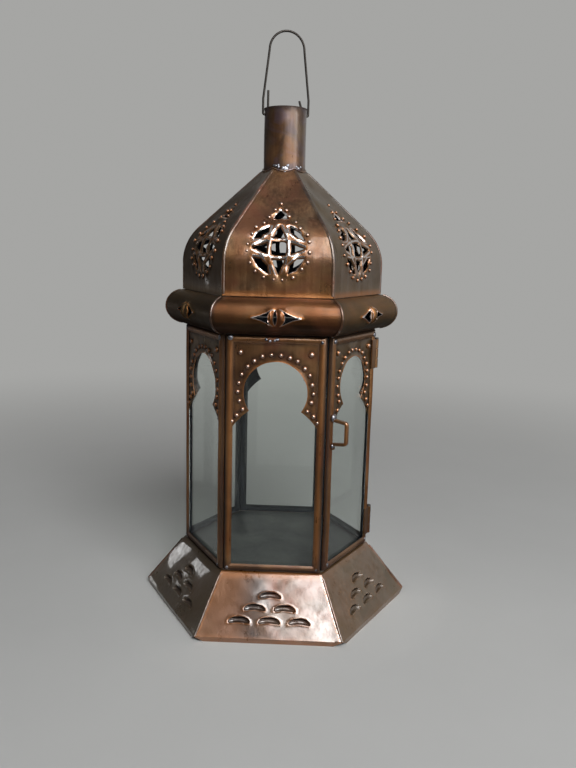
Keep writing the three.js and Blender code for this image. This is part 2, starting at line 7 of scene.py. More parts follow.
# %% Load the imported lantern
import json
import math
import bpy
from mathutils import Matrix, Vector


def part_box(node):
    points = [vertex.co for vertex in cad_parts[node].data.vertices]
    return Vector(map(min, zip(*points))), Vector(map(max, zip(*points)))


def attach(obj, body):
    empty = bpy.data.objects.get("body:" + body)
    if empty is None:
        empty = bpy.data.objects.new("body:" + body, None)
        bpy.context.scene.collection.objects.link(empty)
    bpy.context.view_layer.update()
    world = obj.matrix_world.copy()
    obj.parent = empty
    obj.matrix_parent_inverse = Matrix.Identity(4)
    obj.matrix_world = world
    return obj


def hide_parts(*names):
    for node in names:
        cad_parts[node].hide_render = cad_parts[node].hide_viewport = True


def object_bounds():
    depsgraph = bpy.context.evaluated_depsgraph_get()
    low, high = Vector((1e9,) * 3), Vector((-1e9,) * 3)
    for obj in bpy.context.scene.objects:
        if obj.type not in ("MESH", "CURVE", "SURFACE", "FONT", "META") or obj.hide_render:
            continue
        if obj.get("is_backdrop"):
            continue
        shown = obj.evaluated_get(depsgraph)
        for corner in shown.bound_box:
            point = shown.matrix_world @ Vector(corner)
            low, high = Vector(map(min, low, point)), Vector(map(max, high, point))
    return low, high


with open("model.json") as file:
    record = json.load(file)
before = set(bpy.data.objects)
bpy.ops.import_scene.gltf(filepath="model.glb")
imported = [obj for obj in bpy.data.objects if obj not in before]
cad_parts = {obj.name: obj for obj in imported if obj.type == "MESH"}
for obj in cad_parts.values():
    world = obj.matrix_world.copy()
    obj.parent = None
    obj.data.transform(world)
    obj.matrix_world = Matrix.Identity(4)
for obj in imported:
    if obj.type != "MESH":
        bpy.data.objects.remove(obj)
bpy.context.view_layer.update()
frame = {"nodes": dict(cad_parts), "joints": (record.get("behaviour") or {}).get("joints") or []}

from types import SimpleNamespace

import bpy
import numpy as np
from mathutils import Quaternion, Vector
from mathutils.geometry import delaunay_2d_cdt
from mathutils.kdtree import KDTree

# %% [markdown]
# ## Measure the frame
# A sheet-metal worker measures the last piece before cutting the next one. Each of the
# six sides is the same piece turned about the upright axis, so a node is turned back to
# the front before it is measured. The box of the turned points then gives its outer
# face, its back, its foot and its top.

# %% Measure the frame
MM = 0.001
SIDES = ("front", "front_right", "back_right", "back", "back_left", "front_left")
DOOR = 1
HINGE_SIDE = 2
TURN = math.tau / len(SIDES)
MITRE = math.tan(TURN / 2)
SHEET = 0.5 * MM
SEAM = 0.15 * MM  # half the gap between two neighbours
BODIES = ["door" if side == DOOR else "lantern" for side in range(len(SIDES))]


def stacked(*columns):
    """Columns of numbers side by side as rows. A single number fills its column."""
    return np.stack(np.broadcast_arrays(*columns), axis=1)


def turned(points, side):
    """Points turned about the upright axis from the front to another side."""
    c, s = math.cos(side * TURN), math.sin(side * TURN)
    return np.asarray(points) @ np.array([[c, s, 0], [-s, c, 0], [0, 0, 1]])


def measured(node, side=0):
    """Where a node lies once it is turned to the front."""
    points = turned([v.co for v in frame["nodes"][node].data.vertices], -side)
    low, high = points.min(axis=0), points.max(axis=0)
    return SimpleNamespace(
        left=low[0], right=high[0], half=(high[0] - low[0]) / 2,
        face=-low[1], back=-high[1], foot=low[2], top=high[2],
    )


skirt = measured("skirt_panel_front")
wall = measured("wall_frame_front")
door = measured("door_frame", DOOR)
plate = measured("arch_plate_front")
roll = measured("cornice_roll_front")
dome = measured("dome_petal_front")
neck = measured("neck_tube")
print(f"walls {wall.foot / MM:.1f} to {wall.top / MM:.1f} mm, neck rim {neck.top / MM:.1f} mm")

# %% [markdown]
# ## The camera
# The photograph was taken from a little above the middle with a short lens, and held
# slightly askew. Camera helpers that read the render size would see the wrong frame, so
# place, aim and roll are plain values, found by fitting the lantern's own edges.

# %% Camera
CAMERA_PLACE = Vector((18.53, -459.98, 223.40)) * MM
CAMERA_AIM = Vector((5.47, 0.0, 136.17)) * MM
CAMERA_ROLL = math.radians(1.482)
CAMERA_LENS = 35.0
CAMERA_CLIP = 10 * MM


def in_scene(name, data):
    """An object with some data, linked into the scene at the origin."""
    made = bpy.data.objects.new(name, data)
    bpy.context.scene.collection.objects.link(made)
    return made


camera = in_scene("camera", bpy.data.cameras.new("camera"))
camera.data.lens = CAMERA_LENS
camera.data.clip_start = CAMERA_CLIP
camera.location = CAMERA_PLACE
camera.rotation_mode = "QUATERNION"
looking = (CAMERA_AIM - CAMERA_PLACE).to_track_quat("-Z", "Y")
camera.rotation_quaternion = looking @ Quaternion((0, 0, 1), CAMERA_ROLL)
bpy.context.scene.camera = camera
bpy.context.scene.view_settings.view_transform = "Standard"
print(f"camera {(CAMERA_AIM - CAMERA_PLACE).length:.3f} m from the lantern")

# %% [markdown]
# ## Shader maths as plain sums
# Node trees grow unreadable when every sum is wired by hand. This small class wraps one
# socket, so that `1 - rub` or `cloud * 0.5 + fleck` adds the Math nodes by itself. Any
# other node comes from one method: its type, its sockets, then its settings.

# %% One class for node trees
class Wire:
    """One socket of a node tree."""

    def __init__(self, tree, socket=None):
        self.tree = tree
        self.socket = socket

    def node(self, kind, inputs=None, output=0, **settings):
        """A new node, and a wire from one of its outputs."""
        made = self.tree.nodes.new(kind)
        for name, value in settings.items():
            if name == "stops":
                ends = made.color_ramp.elements
                ends[0].position, ends[0].color = value[0]
                ends[1].position, ends[1].color = value[-1]
                for place, colour in value[1:-1]:
                    ends.new(place).color = colour
            else:
                setattr(made, name, value)
        for name, value in (inputs or {}).items():
            if isinstance(value, Wire):
                self.tree.links.new(value.socket, made.inputs[name])
            else:
                made.inputs[name].default_value = value
        return Wire(self.tree, made.outputs[output] if len(made.outputs) else None)

    def beside(self, output):
        """Another output of the same node."""
        return Wire(self.tree, self.socket.node.outputs[output])

    def sum(self, operation, first, second, clamp=False):
        """A Math node."""
        inputs = {0: first, 1: second}
        return self.node("ShaderNodeMath", inputs, operation=operation, use_clamp=clamp)

    def __add__(self, other):
        return self.sum("ADD", self, other)

    def __sub__(self, other):
        return self.sum("SUBTRACT", self, other)

    def __rsub__(self, other):
        return self.sum("SUBTRACT", other, self)

    def __mul__(self, other):
        return self.sum("MULTIPLY", self, other)

    def clamped(self, gain=1.0, shift=0.0):
        """gain times the value plus shift, held between 0 and 1."""
        return self.sum("ADD", self * gain, shift, clamp=True)

    def mix(self, first, second):
        """From one colour to another, as this value goes from 0 to 1."""
        return self.node("ShaderNodeMix", {0: self, 6: first, 7: second}, 2, data_type="RGBA")

    def noise(self, place, scale, detail=3.0, roughness=0.55, distortion=0.0):
        """Cloudy values from 0 to 1."""
        inputs = {"Vector": place, "Scale": scale, "Detail": detail}
        inputs |= {"Roughness": roughness, "Distortion": distortion}
        return self.node("ShaderNodeTexNoise", inputs, "Fac")

    def ends_in(self, kind, inputs):
        """The last shader of a material, and its output."""
        surface = self.node(kind, inputs)
        self.node("ShaderNodeOutputMaterial", {"Surface": surface})

    __radd__ = __add__
    __rmul__ = __mul__


def rgb(red, green, blue):
    """A colour that hides what is behind it."""
    return (red, green, blue, 1.0)


def fresh_material(name):
    """A material with an empty tree, and a wire to build it with."""
    material = bpy.data.materials.new(name)
    material.use_nodes = True
    material.node_tree.nodes.clear()
    return material, Wire(material.node_tree)


print("node helper ready")

# %% [markdown]
# ## The stage
# A plain pale floor and an even pale world, so that the metal has something quiet to
# mirror. The world shows one tone to the camera, to mirrors and through glass, and sends
# a separate plain level of light to everything else.

# %% Floor and world
FLOOR_RADIUS = 12.0
PALE = rgb(0.38, 0.38, 0.37)
WORLD_LIGHT = rgb(0.17, 0.17, 0.17)
FADE_START, FADE_END = 0.16, 0.90  # the floor melts into the room between these


def new_mesh(name, points, edges=(), faces=(), finishes=()):
    """A mesh from plain points, edges or faces, with its finishes."""
    mesh = bpy.data.meshes.new(name)
    mesh.from_pydata([tuple(p) for p in points], edges, [tuple(f) for f in faces])
    for finish in finishes:
        mesh.materials.append(finish)
    return mesh


def mark(mesh, name, values, kind="FLOAT", field="value"):
    """A number or a direction kept with each point of a mesh."""
    column = mesh.attributes.new(name, kind, "POINT")
    column.data.foreach_set(field, np.asarray(values, np.float32).ravel())


floor_finish, wire = fresh_material("pale_floor")
place = wire.node("ShaderNodeTexCoord", output="Object")
mottle = wire.noise(place, 9.0, 4.0)
tone = mottle.mix(rgb(0.60, 0.595, 0.575), rgb(0.66, 0.655, 0.635))
near = wire.node("ShaderNodeBsdfPrincipled", {"Base Color": tone, "Roughness": 0.9})
far = wire.node("ShaderNodeEmission", {"Color": PALE})
reach = wire.node("ShaderNodeVectorMath", {0: place}, "Value", operation="LENGTH")
fade = reach.clamped(1 / (FADE_END - FADE_START), -FADE_START / (FADE_END - FADE_START))
fade = fade * fade * (3 - fade * 2)
wire.ends_in("ShaderNodeMixShader", {0: fade, 1: near, 2: far})

angles = np.linspace(0, math.tau, 64, endpoint=False)
ring = [(FLOOR_RADIUS * math.cos(a), FLOOR_RADIUS * math.sin(a), 0) for a in angles]
floor_mesh = new_mesh("floor", ring, faces=[range(len(ring))], finishes=[floor_finish])
floor = in_scene("floor", floor_mesh)
floor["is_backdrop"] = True

world = bpy.data.worlds.new("pale_room")
world.use_nodes = True
world.node_tree.nodes.clear()
wire = Wire(world.node_tree)
ray = wire.node("ShaderNodeLightPath", output="Is Camera Ray")
glossy, through = ray.beside("Is Glossy Ray"), ray.beside("Is Transmission Ray")
shown = wire.sum("ADD", ray + glossy, through, clamp=True)
surface = wire.node("ShaderNodeBackground", {"Color": shown.mix(WORLD_LIGHT, PALE)})
wire.node("ShaderNodeOutputWorld", {"Surface": surface})
bpy.context.scene.world = world
print("floor and world made")

# %% [markdown]
# ## Lamps and cards
# Polished metal is lit by what it mirrors. One softbox at the front right gives the light
# and the shadow. A tall card in front, dark on its left and bright on its right, is there
# for the sloping skirt and the dome's shoulder to mirror. Two on the right draw the lines on
# hips, beads and folds, and a small one far to the left is the window that shines in the
# left tray. Dark cards in front, overhead and round the foot keep the browns deep, and a
# black flag takes the light from the left. Only mirrors see the cards.

# %% Lamps and cards
LAMP_AIM = Vector((0.0, 0.0, 0.17))
WINDOW_AIM = Vector((-0.063, -0.036, 0.022))  # on the left tray
SHADE_INNER, SHADE_OUTER, SHADE_LIFT = 0.11, 1.30, 0.3 * MM  # the dark ring on the floor
BLACK, SHADE_TONE = 0.05, 0.08


def towards(azimuth, elevation):
    """A direction, from degrees right of the front and above level."""
    a, e = math.radians(azimuth), math.radians(elevation)
    return Vector((math.sin(a) * math.cos(e), -math.cos(a) * math.cos(e), math.sin(e)))


def softbox(name, azimuth, elevation, distance, width, height, power, colour):
    """A rectangular lamp that looks at the middle of the lantern."""
    data = bpy.data.lights.new(name, "AREA")
    data.shape = "RECTANGLE"
    data.size, data.size_y = width, height
    data.energy, data.color = power, colour
    lamp = in_scene(name, data)
    out = towards(azimuth, elevation)
    lamp.location = LAMP_AIM + out * distance
    lamp.rotation_mode = "QUATERNION"
    lamp.rotation_quaternion = (-out).to_track_quat("-Z", "Y")


def mirror_card(name, points, faces, tones, blocks=False):
    """A card that only mirrors can see, or a flag that takes light away as well."""
    finish, wire = fresh_material(name)
    tone = wire.node("ShaderNodeAttribute", output="Fac", attribute_name="tone")
    wire.ends_in("ShaderNodeEmission", {"Color": tone})
    mesh = new_mesh(name, points, faces=faces, finishes=[finish])
    mark(mesh, "tone", tones)
    card = in_scene(name, mesh)
    card.visible_camera = card.visible_transmission = False
    card.visible_diffuse = card.visible_shadow = blocks
    card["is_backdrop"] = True


def hung_card(name, azimuth, elevation, distance, width, height, left, right,
              aim=LAMP_AIM, blocks=False):
    """A rectangular card that faces a point and shades from its left tone to its right."""
    out = towards(azimuth, elevation)
    across = towards(azimuth + 90, 0) * width / 2
    upward = out.cross(across).normalized() * height / 2
    corners = [-across - upward, across - upward, across + upward, upward - across]
    points = [aim + out * distance + c for c in corners]
    mirror_card(name, points, [(0, 1, 2, 3)], [left, right, right, left], blocks)


# degrees right of the front and up, then metres away, wide and high, then power or tones
softbox("key_softbox", 24, 40, 1.25, 0.65, 0.70, 11.0, (0.96, 0.98, 1.0))
hung_card("front_card", 7.3, 43, 1.1, 0.39, 0.95, BLACK, 11.4)
hung_card("right_card", 41, 25, 1.3, 1.1, 1.4, 0.9, 2.2)
hung_card("window_card", -121, 9.5, 0.8, 0.07, 0.07, 3.0, 3.0, WINDOW_AIM)
hung_card("hip_card", 66, 35, 1.3, 0.32, 1.0, 5.0, 5.0)
hung_card("gap_shade", -15, 43, 1.2, 0.5, 0.95, BLACK, BLACK)
hung_card("front_shade", -19, 0, 0.9, 1.08, 0.36, BLACK, BLACK)
hung_card("side_shade", -30.5, 20, 1.0, 0.84, 0.86, BLACK, BLACK)
hung_card("top_shade", 180, 75, 1.0, 1.5, 1.3, 0.22, 0.22)
hung_card("left_flag", -102, 12, 0.92, 2.3, 1.1, BLACK, BLACK, blocks=True)
ring = [(r * math.cos(a), r * math.sin(a), SHADE_LIFT)
        for r in (SHADE_INNER, SHADE_OUTER) for a in angles]
count = len(angles)
panels = [(i, (i + 1) % count, count + (i + 1) % count, count + i) for i in range(count)]
mirror_card("floor_shade", ring, panels, [SHADE_TONE] * len(ring))
print("one lamp and ten cards set")

# %% [markdown]
# ## Aged copper
# The iron sheet has a thin copper wash, browned by a patina and sealed with lacquer. The
# brown layer is only partly metallic and rough, and the lacquer is a clear coat, so bright
# light mirrors white while the metal below stays brown. Each mesh carries two numbers for
# each point. `rub` is above 0 where the copper blushes, where the chisel left bare
# metal and where a highlight is painted, and below 0 where dirt gathers and where shade is
# painted. `olive` says how far a whole sheet has turned from brown.
# Broad noise makes the clouds of olive and heat red, fine noise the drawn grain and flecks.

# %% Copper finish
COPPER_TONES = [
    (0.20, rgb(0.050, 0.020, 0.007)),
    (0.38, rgb(0.125, 0.053, 0.017)),
    (0.52, rgb(0.220, 0.098, 0.032)),
    (0.68, rgb(0.320, 0.150, 0.050)),
    (0.85, rgb(0.430, 0.220, 0.085)),
]
OLIVE = rgb(0.130, 0.092, 0.044)
HEAT_RED = rgb(0.220, 0.072, 0.030)
# Blush and bare metal also serve as painted highlight, and dirt also as painted shade.
BLUSH_AND_HIGHLIGHT = rgb(0.420, 0.145, 0.028)
BARE_METAL_AND_HIGHLIGHT = rgb(0.820, 0.765, 0.730)
LAVENDER = rgb(0.120, 0.080, 0.105)
DIRT_AND_SHADE = rgb(0.026, 0.011, 0.006)
UPRIGHT_GRAIN = (560.0, 560.0, 16.0)
LEVEL_GRAIN = (14.0, 14.0, 520.0)
MEAN_TONE = 0.43  # what the four noises add up to beyond the middle of the ramp


def patinated_copper(name, grain, warmth, metal, lacquer, gloss=1.6, bloom=HEAT_RED,
                     haze=0.1, patch=26.0, dull=0.05):
    """Browned copper with streaks along the grain; bright edges are wear and painted highlight,
    dark corners are dirt and painted shade.
    """
    material, wire = fresh_material(name)
    place = wire.node("ShaderNodeTexCoord", output="Object")
    drawn = wire.node("ShaderNodeMapping", {"Vector": place, "Scale": grain})
    rub = wire.node("ShaderNodeAttribute", output="Fac", attribute_name="rub")
    olive = wire.node("ShaderNodeAttribute", output="Fac", attribute_name="olive")
    # Above 0 the marks give blush and bare metal, also painted highlight; below 0 dirt, also
    # painted shade.
    blush_and_highlight_mask, bare_and_highlight_mask = rub.clamped(2.2), rub.clamped(2.0, -1.0)
    dirt_and_shade_mask, crust_and_shade_mask = rub.clamped(-1.0), rub.clamped(-2.0, -1.0)
    cloud = wire.noise(place, 17.0, 2.0, 0.5, 0.4)
    blotch = wire.noise(place, 70.0, 4.0, 0.55, 0.5)
    fleck = wire.noise(place, 640.0, 3.0, 0.6)
    streak = wire.noise(drawn, 1.0, 4.0, 0.6)
    tarnish = wire.noise(place, patch * 1.2, 3.0, 0.55, 0.8).clamped(4.5, -2.2)
    heat = wire.noise(place, patch, 3.0, 0.5, 1.2).clamped(6.0, -2.9)
    tone = cloud * 1.15 + blotch * 0.4 + streak * 0.25 + fleck * 0.1 - MEAN_TONE + warmth
    brown = wire.node("ShaderNodeValToRGB", {"Fac": tone}, stops=COPPER_TONES)
    brown = (tarnish * 0.45).mix(brown, OLIVE)
    brown = (heat * 0.75).mix(brown, bloom)
    brown = olive.mix(brown, OLIVE)
    brown = (blush_and_highlight_mask * 0.7).mix(brown, BLUSH_AND_HIGHLIGHT)
    brown = bare_and_highlight_mask.mix(brown, BARE_METAL_AND_HIGHLIGHT)
    speck = fleck.clamped(9.0, -5.8)
    brown = (speck * 0.35 + dirt_and_shade_mask * 0.85).clamped().mix(brown, DIRT_AND_SHADE)
    rough = blotch * 0.3 + streak * 0.25 + tarnish * 0.12 + crust_and_shade_mask * 0.5 - bare_and_highlight_mask * 0.16 + dull
    film = streak * 2.2 + blotch * 1.4 - 0.95
    coat = film * lacquer - tarnish * 0.2 - olive * 0.3 - crust_and_shade_mask * 0.9 + bare_and_highlight_mask * 0.3
    relief = fleck * 0.5 + streak * 0.5 + blotch * 0.9
    inputs = {"Height": relief, "Strength": 0.2, "Distance": 0.5 * MM}
    skin = wire.node("ShaderNodeBump", inputs)
    inputs = {
        "Base Color": brown, "Roughness": rough, "Metallic": bare_and_highlight_mask * (0.97 - metal) + metal,
        "Coat Weight": coat.clamped(), "Normal": skin,
        "IOR": 1.7, "Coat Roughness": haze, "Coat IOR": gloss,
    }
    wire.ends_in("ShaderNodeBsdfPrincipled", inputs)
    return material


copper = patinated_copper(
    "aged_copper", UPRIGHT_GRAIN, warmth=-0.07, metal=0.7, lacquer=0.8)
rolled_copper = patinated_copper(
    "aged_copper_rolled", LEVEL_GRAIN, warmth=-0.36, metal=0.85, lacquer=0.18, dull=0.16)
skirt_copper = patinated_copper(
    "aged_copper_skirt", UPRIGHT_GRAIN, warmth=-0.25, metal=0.28, lacquer=1.0, gloss=2.0, haze=0.05)
frame_copper = patinated_copper(
    "aged_copper_frames", UPRIGHT_GRAIN, warmth=0.05, metal=0.65, lacquer=0.9)
neck_copper = patinated_copper(
    "aged_copper_neck", UPRIGHT_GRAIN, warmth=-0.16, metal=0.5, lacquer=0.9, gloss=1.7,
    bloom=LAVENDER, haze=0.2, patch=75.0)
seam_copper = patinated_copper(
    "aged_copper_seams", UPRIGHT_GRAIN, warmth=-0.26, metal=0.5, lacquer=1.0, gloss=1.9, haze=0.05)
print("copper in six temperings")

# %% [markdown]
# ## The other finishes
# The backs of the sheets, inside the lantern, are painted a dark blue-grey as shade. Seams are
# closed with tin solder, left bright in places. The wire is dull steel. Window glass is
# thin and clear, and lets the lamps through by a Light Path switch, because a lamp can't
# find its way through a bending surface in reasonable time.

# %% Painted inside shade, solder, steel and glass
def plain_metal(name, dark, light, scale, rough, metal, bump, shine=0.5):
    """A metal whose tone and roughness follow one noise, with a fine relief."""
    material, wire = fresh_material(name)
    place = wire.node("ShaderNodeTexCoord", output="Object")
    broad = wire.noise(place, scale, 5.0, 0.6, 0.4)
    fine = wire.noise(place, scale * 9.0, 3.0)
    tone = (broad * 0.75 + fine * 0.25).clamped(3.0, -1.0)
    inputs = {"Height": broad + fine * 0.4, "Strength": bump, "Distance": 0.6 * MM}
    skin = wire.node("ShaderNodeBump", inputs)
    inputs = {
        "Base Color": tone.mix(dark, light), "Roughness": broad * 0.35 + rough,
        "Metallic": metal, "Specular IOR Level": shine, "Normal": skin,
    }
    wire.ends_in("ShaderNodeBsdfPrincipled", inputs)
    return material


GLASS_TINT = rgb(0.885, 0.915, 0.895)
inside_shade = plain_metal(
    "dark_scale", rgb(0.012, 0.014, 0.019), rgb(0.036, 0.038, 0.047),
    scale=60.0, rough=0.32, metal=0.3, bump=0.2, shine=0.15)
floor_scale = plain_metal(
    "floor_scale", rgb(0.020, 0.023, 0.025), rgb(0.120, 0.122, 0.115),
    scale=42.0, rough=0.22, metal=0.6, bump=0.15)
solder = plain_metal(
    "tin_solder", rgb(0.12, 0.12, 0.13), rgb(0.48, 0.48, 0.53),
    scale=300.0, rough=0.12, metal=0.9, bump=0.35)
dull_steel = plain_metal(
    "dull_steel_wire", rgb(0.032, 0.027, 0.024), rgb(0.044, 0.038, 0.033),
    scale=60.0, rough=0.25, metal=0.85, bump=0.02)

window_glass, wire = fresh_material("window_glass")
lamp_ray = wire.node("ShaderNodeLightPath", output="Is Shadow Ray")
place = wire.node("ShaderNodeTexCoord", output="Object")
smear = wire.noise(place, 45.0, 4.0, 0.6, 1.2).clamped(3.2, -1.7)
inputs = {
    "Base Color": GLASS_TINT, "Roughness": smear * 0.03,
    "IOR": 1.45, "Transmission Weight": 1.0,
}
bending = wire.node("ShaderNodeBsdfPrincipled", inputs)
clear = wire.node("ShaderNodeBsdfTransparent", {"Color": GLASS_TINT})
wire.ends_in("ShaderNodeMixShader", {0: lamp_ray, 1: bending, 2: clear})
print("dark scale, solder, steel and glass made")

# %% [markdown]
# ## Cut the blank flat, then bend it
# Every sheet piece of the lantern was cut and pierced flat, and bent afterwards. The same
# order works here. The outline and the piercings are drawn on a flat blank, a Delaunay
# triangulation fills it with small triangles that respect those lines, and the triangles
# in the openings are dropped. A Boolean cut would leave long thin faces that can't bend.

# %% Cutting a flat blank
def walked(loop, step):
    """Points along a closed line, no further apart than a step."""
    loop = np.asarray(loop, float)
    found = []
    for start, end in zip(loop, np.roll(loop, -1, axis=0)):
        count = max(1, math.ceil(np.linalg.norm(end - start) / step))
        found.append(start + (end - start) * np.arange(count)[:, None] / count)
    return np.concatenate(found)


def inside(points, loop):
    """True for each point inside a closed line."""
    x, y = points[:, :1], points[:, 1:]
    x0, y0 = np.asarray(loop).T
    x1, y1 = np.roll(x0, -1), np.roll(y0, -1)
    rise = np.where(y1 == y0, 1.0, y1 - y0)
    crossing = (y0 > y) != (y1 > y)
    return ((crossing & (x < x0 + (y - y0) * (x1 - x0) / rise)).sum(axis=1) % 2) == 1


def openings(loops):
    """A test for points that lie inside any of some closed lines."""
    return lambda points: np.any([inside(points, loop) for loop in loops], axis=0)


def spread(candidates, taken, gap):
    """The candidates that keep a gap from the taken points and from each other."""
    cells, kept = {}, []
    for new, points in ((False, taken), (True, candidates)):
        for x, y in points.tolist():
            column, row = int(x // gap), int(y // gap)
            near = (
                spot for i in (-1, 0, 1) for j in (-1, 0, 1)
                for spot in cells.get((column + i, row + j), ())
            )
            if new and any(math.hypot(x - p, y - q) < gap for p, q in near):
                continue
            cells.setdefault((column, row), []).append((x, y))
            if new:
                kept.append((x, y))
    return np.array(kept).reshape(-1, 2)


def distance_to(points, places):
    """Distance from each point to the nearest of some places."""
    if not len(places):
        return np.full(len(points), 1.0)
    tree = KDTree(len(places))
    for i, (x, y) in enumerate(places):
        tree.insert((x, y, 0), i)
    tree.balance()
    return np.array([tree.find((x, y, 0))[2] for x, y in points])


print("cutting tools ready")

# %% Filling the blank with triangles
BLANK_PITCH = 1.25 * MM  # triangles in the open sheet
CUT_STEP = 0.55 * MM  # and along a piercing
CUT_ROWS = (0.4 * MM, 0.9 * MM, 1.6 * MM)  # rows of points beside a piercing
CLOSEST = 0.36 * MM
BORDER_STEP = 0.8 * MM
ROW_RATIO = 0.866  # height of a row of even triangles
ON_BORDER = 0.08 * MM


def rows_beside(loop):
    """Points in rows on both sides of a closed line."""
    ahead = np.roll(loop, -1, axis=0) - np.roll(loop, 1, axis=0)
    across = stacked(-ahead[:, 1], ahead[:, 0])
    across /= np.linalg.norm(across, axis=1)[:, None] + 1e-12
    rows = [loop[::k + 1] + side * row * across[::k + 1]
            for k, row in enumerate(CUT_ROWS) for side in (-1, 1)]
    return np.concatenate(rows)


def cut_blank(outline, curves=(), waste=None):
    """A flat blank: points, triangles, rim, and distances to piercings and edges."""
    waste = waste or (lambda points: np.zeros(len(points), bool))
    border = walked(outline, BORDER_STEP)
    loops = [border] + [walked(curve, CUT_STEP) for curve in curves]
    fixed = np.concatenate(loops)
    edges, start = [], 0
    for loop in loops:
        count = len(loop)
        edges += [(start + i, start + (i + 1) % count) for i in range(count)]
        start += count
    low, high = border.min(axis=0), border.max(axis=0)
    places = np.arange(low[0] + 0.4 * BLANK_PITCH, high[0], BLANK_PITCH)
    levels = np.arange(low[1] + 0.4 * BLANK_PITCH, high[1], BLANK_PITCH * ROW_RATIO)
    x, y = np.meshgrid(places, levels)
    x[::2] += BLANK_PITCH / 2
    grid = stacked(x.ravel(), y.ravel())
    room = np.concatenate([*(rows_beside(loop) for loop in loops), grid])
    room = room[inside(room, border)]
    fill = spread(room[~waste(room)], fixed, CLOSEST)
    points = [Vector(p) for p in np.concatenate([fixed, fill])]
    found = delaunay_2d_cdt(points, edges, [], 0, 1e-7)
    flat, faces = np.array([p[:] for p in found[0]]), np.array(found[2])
    middle = flat[faces].mean(axis=1)
    faces = faces[inside(middle, border) & ~waste(middle)]
    sides = np.concatenate([faces[:, [0, 1]], faces[:, [1, 2]], faces[:, [2, 0]]])
    keys = sides.min(axis=1) * len(flat) + sides.max(axis=1)
    once = np.unique(keys, return_counts=True)
    rim = sides[np.isin(keys, once[0][once[1] == 1])]
    outer = distance_to(flat[rim].mean(axis=1), walked(border, 0.1 * MM)) < ON_BORDER
    used, place = np.unique(faces, return_inverse=True)
    renamed = np.zeros(len(flat), int)
    renamed[used] = np.arange(len(used))
    return SimpleNamespace(
        flat=flat[used], faces=place.reshape(-1, 3), rim=renamed[rim],
        cut=distance_to(flat[used], flat[rim[~outer]].mean(axis=1)),
        edge=distance_to(flat[used], flat[rim[outer]].mean(axis=1)),
    )


print("blanks can be cut")

# %% [markdown]
# ## Bending and thickness
# A bend is drawn as a line of distance from the axis against height, with rounded
# corners. A point of the blank keeps its place across the side and walks along that line.
# Relief from the punch is added straight outwards, then a second skin one sheet thickness
# behind it and a rim along every cut make the sheet solid.

# %% Bending a blank
EDGE_STEP = 2 * MM  # along a mitred edge


def rounded(corners, radii, steps=12):
    """An open line with its inner corners rounded."""
    corners = [np.array(c, float) for c in corners]
    line = [corners[0]]
    for before, here, after, radius in zip(corners, corners[1:], corners[2:], radii):
        u = (before - here) / np.linalg.norm(before - here)
        v = (after - here) / np.linalg.norm(after - here)
        half = math.acos(float(np.clip(u @ v, -1, 1))) / 2
        middle = here + (u + v) / np.linalg.norm(u + v) * radius / math.sin(half)
        start, end = (here + w * radius / math.tan(half) - middle for w in (u, v))
        swing = math.pi - 2 * half
        for k in range(steps + 1):
            share = k / steps
            first, last = math.sin((1 - share) * swing), math.sin(share * swing)
            line.append(middle + (start * first + end * last) / math.sin(swing))
    return np.array(line + [corners[-1]])


class Bend:
    """The outer face of a bent sheet, drawn from its foot up."""

    def __init__(self, corners, radii):
        line = rounded(corners, radii)
        steps = np.diff(line, axis=0)
        lengths = np.hypot(*steps.T)
        out = stacked(steps[:, 1], -steps[:, 0]) / lengths[:, None]
        self.along = np.concatenate([[0.0], np.cumsum(lengths)])
        self.reach, self.height = line.T
        self.out = np.concatenate([out[:1], out[1:] + out[:-1], out[-1:]]).T

    def reach_at(self, along):
        """How far the face is from the axis, so far along the sheet."""
        return np.interp(along, self.along, self.reach)

    def place(self, flat, relief=0.0):
        """Points and outward directions of a blank once it is bent."""
        x, along = np.asarray(flat).T
        out, up = (np.interp(along, self.along, part) for part in self.out)
        normals = stacked(0.0, -out, up)
        normals /= np.linalg.norm(normals, axis=1)[:, None]
        height = np.interp(along, self.along, self.height)
        points = stacked(x, -self.reach_at(along), height)
        return points + normals * np.reshape(relief, (-1, 1)), normals

    def mitred(self, start, end):
        """The right-hand edge of a side that meets its neighbours on the mitre."""
        inner = self.along[(self.along > start) & (self.along < end)]
        along = np.unique(np.concatenate([[start, end], inner, np.arange(start, end, EDGE_STEP)]))
        return stacked(self.reach_at(along) * MITRE - SEAM / math.cos(TURN / 2), along)


def uneven(points, size, seed):
    """Smooth hand-made unevenness between about -1 and 1."""
    chance = np.random.default_rng(seed)
    total = np.zeros(len(points))
    for _ in range(7):
        way = chance.normal(size=points.shape[1])
        way *= math.tau / size * chance.uniform(0.5, 1.3) / np.linalg.norm(way)
        total += np.sin(points @ way + chance.uniform(0, math.tau))
    return total / 3.2


def bump_at(distance, width):
    """1 on a line, falling smoothly to 0 beside it."""
    return np.exp(-((np.asarray(distance) / width) ** 2))


def hump(distance, width):
    """1 on a line, falling as a parabola to 0 a width beside it."""
    return np.clip(1 - (distance / width) ** 2, 0, 1)


def ramp(distance, width):
    """0 up to a line, rising to 1 a width beyond it."""
    return np.clip(distance / width, 0, 1)


def mirrored(edge, *top):
    """A closed outline from its right-hand edge, with an extra top line if there is one."""
    return np.concatenate([edge, *top, edge[::-1] * (-1, 1)])


print("bends can be made")

# %% Making the sheet solid
SHARP = math.radians(38)
FORWARD = (0.0, -1.0, 0.0)
TEMPER = (0.0, 0.7, 0.3, 0.1, 0.45, 0.75)  # how olive each side's sheets came out
SIDE_SHADE = (0.0, 0.0, 0.0, 0.0, 0.0, 0.5)  # and how much painted shade they get, on the side away from the light


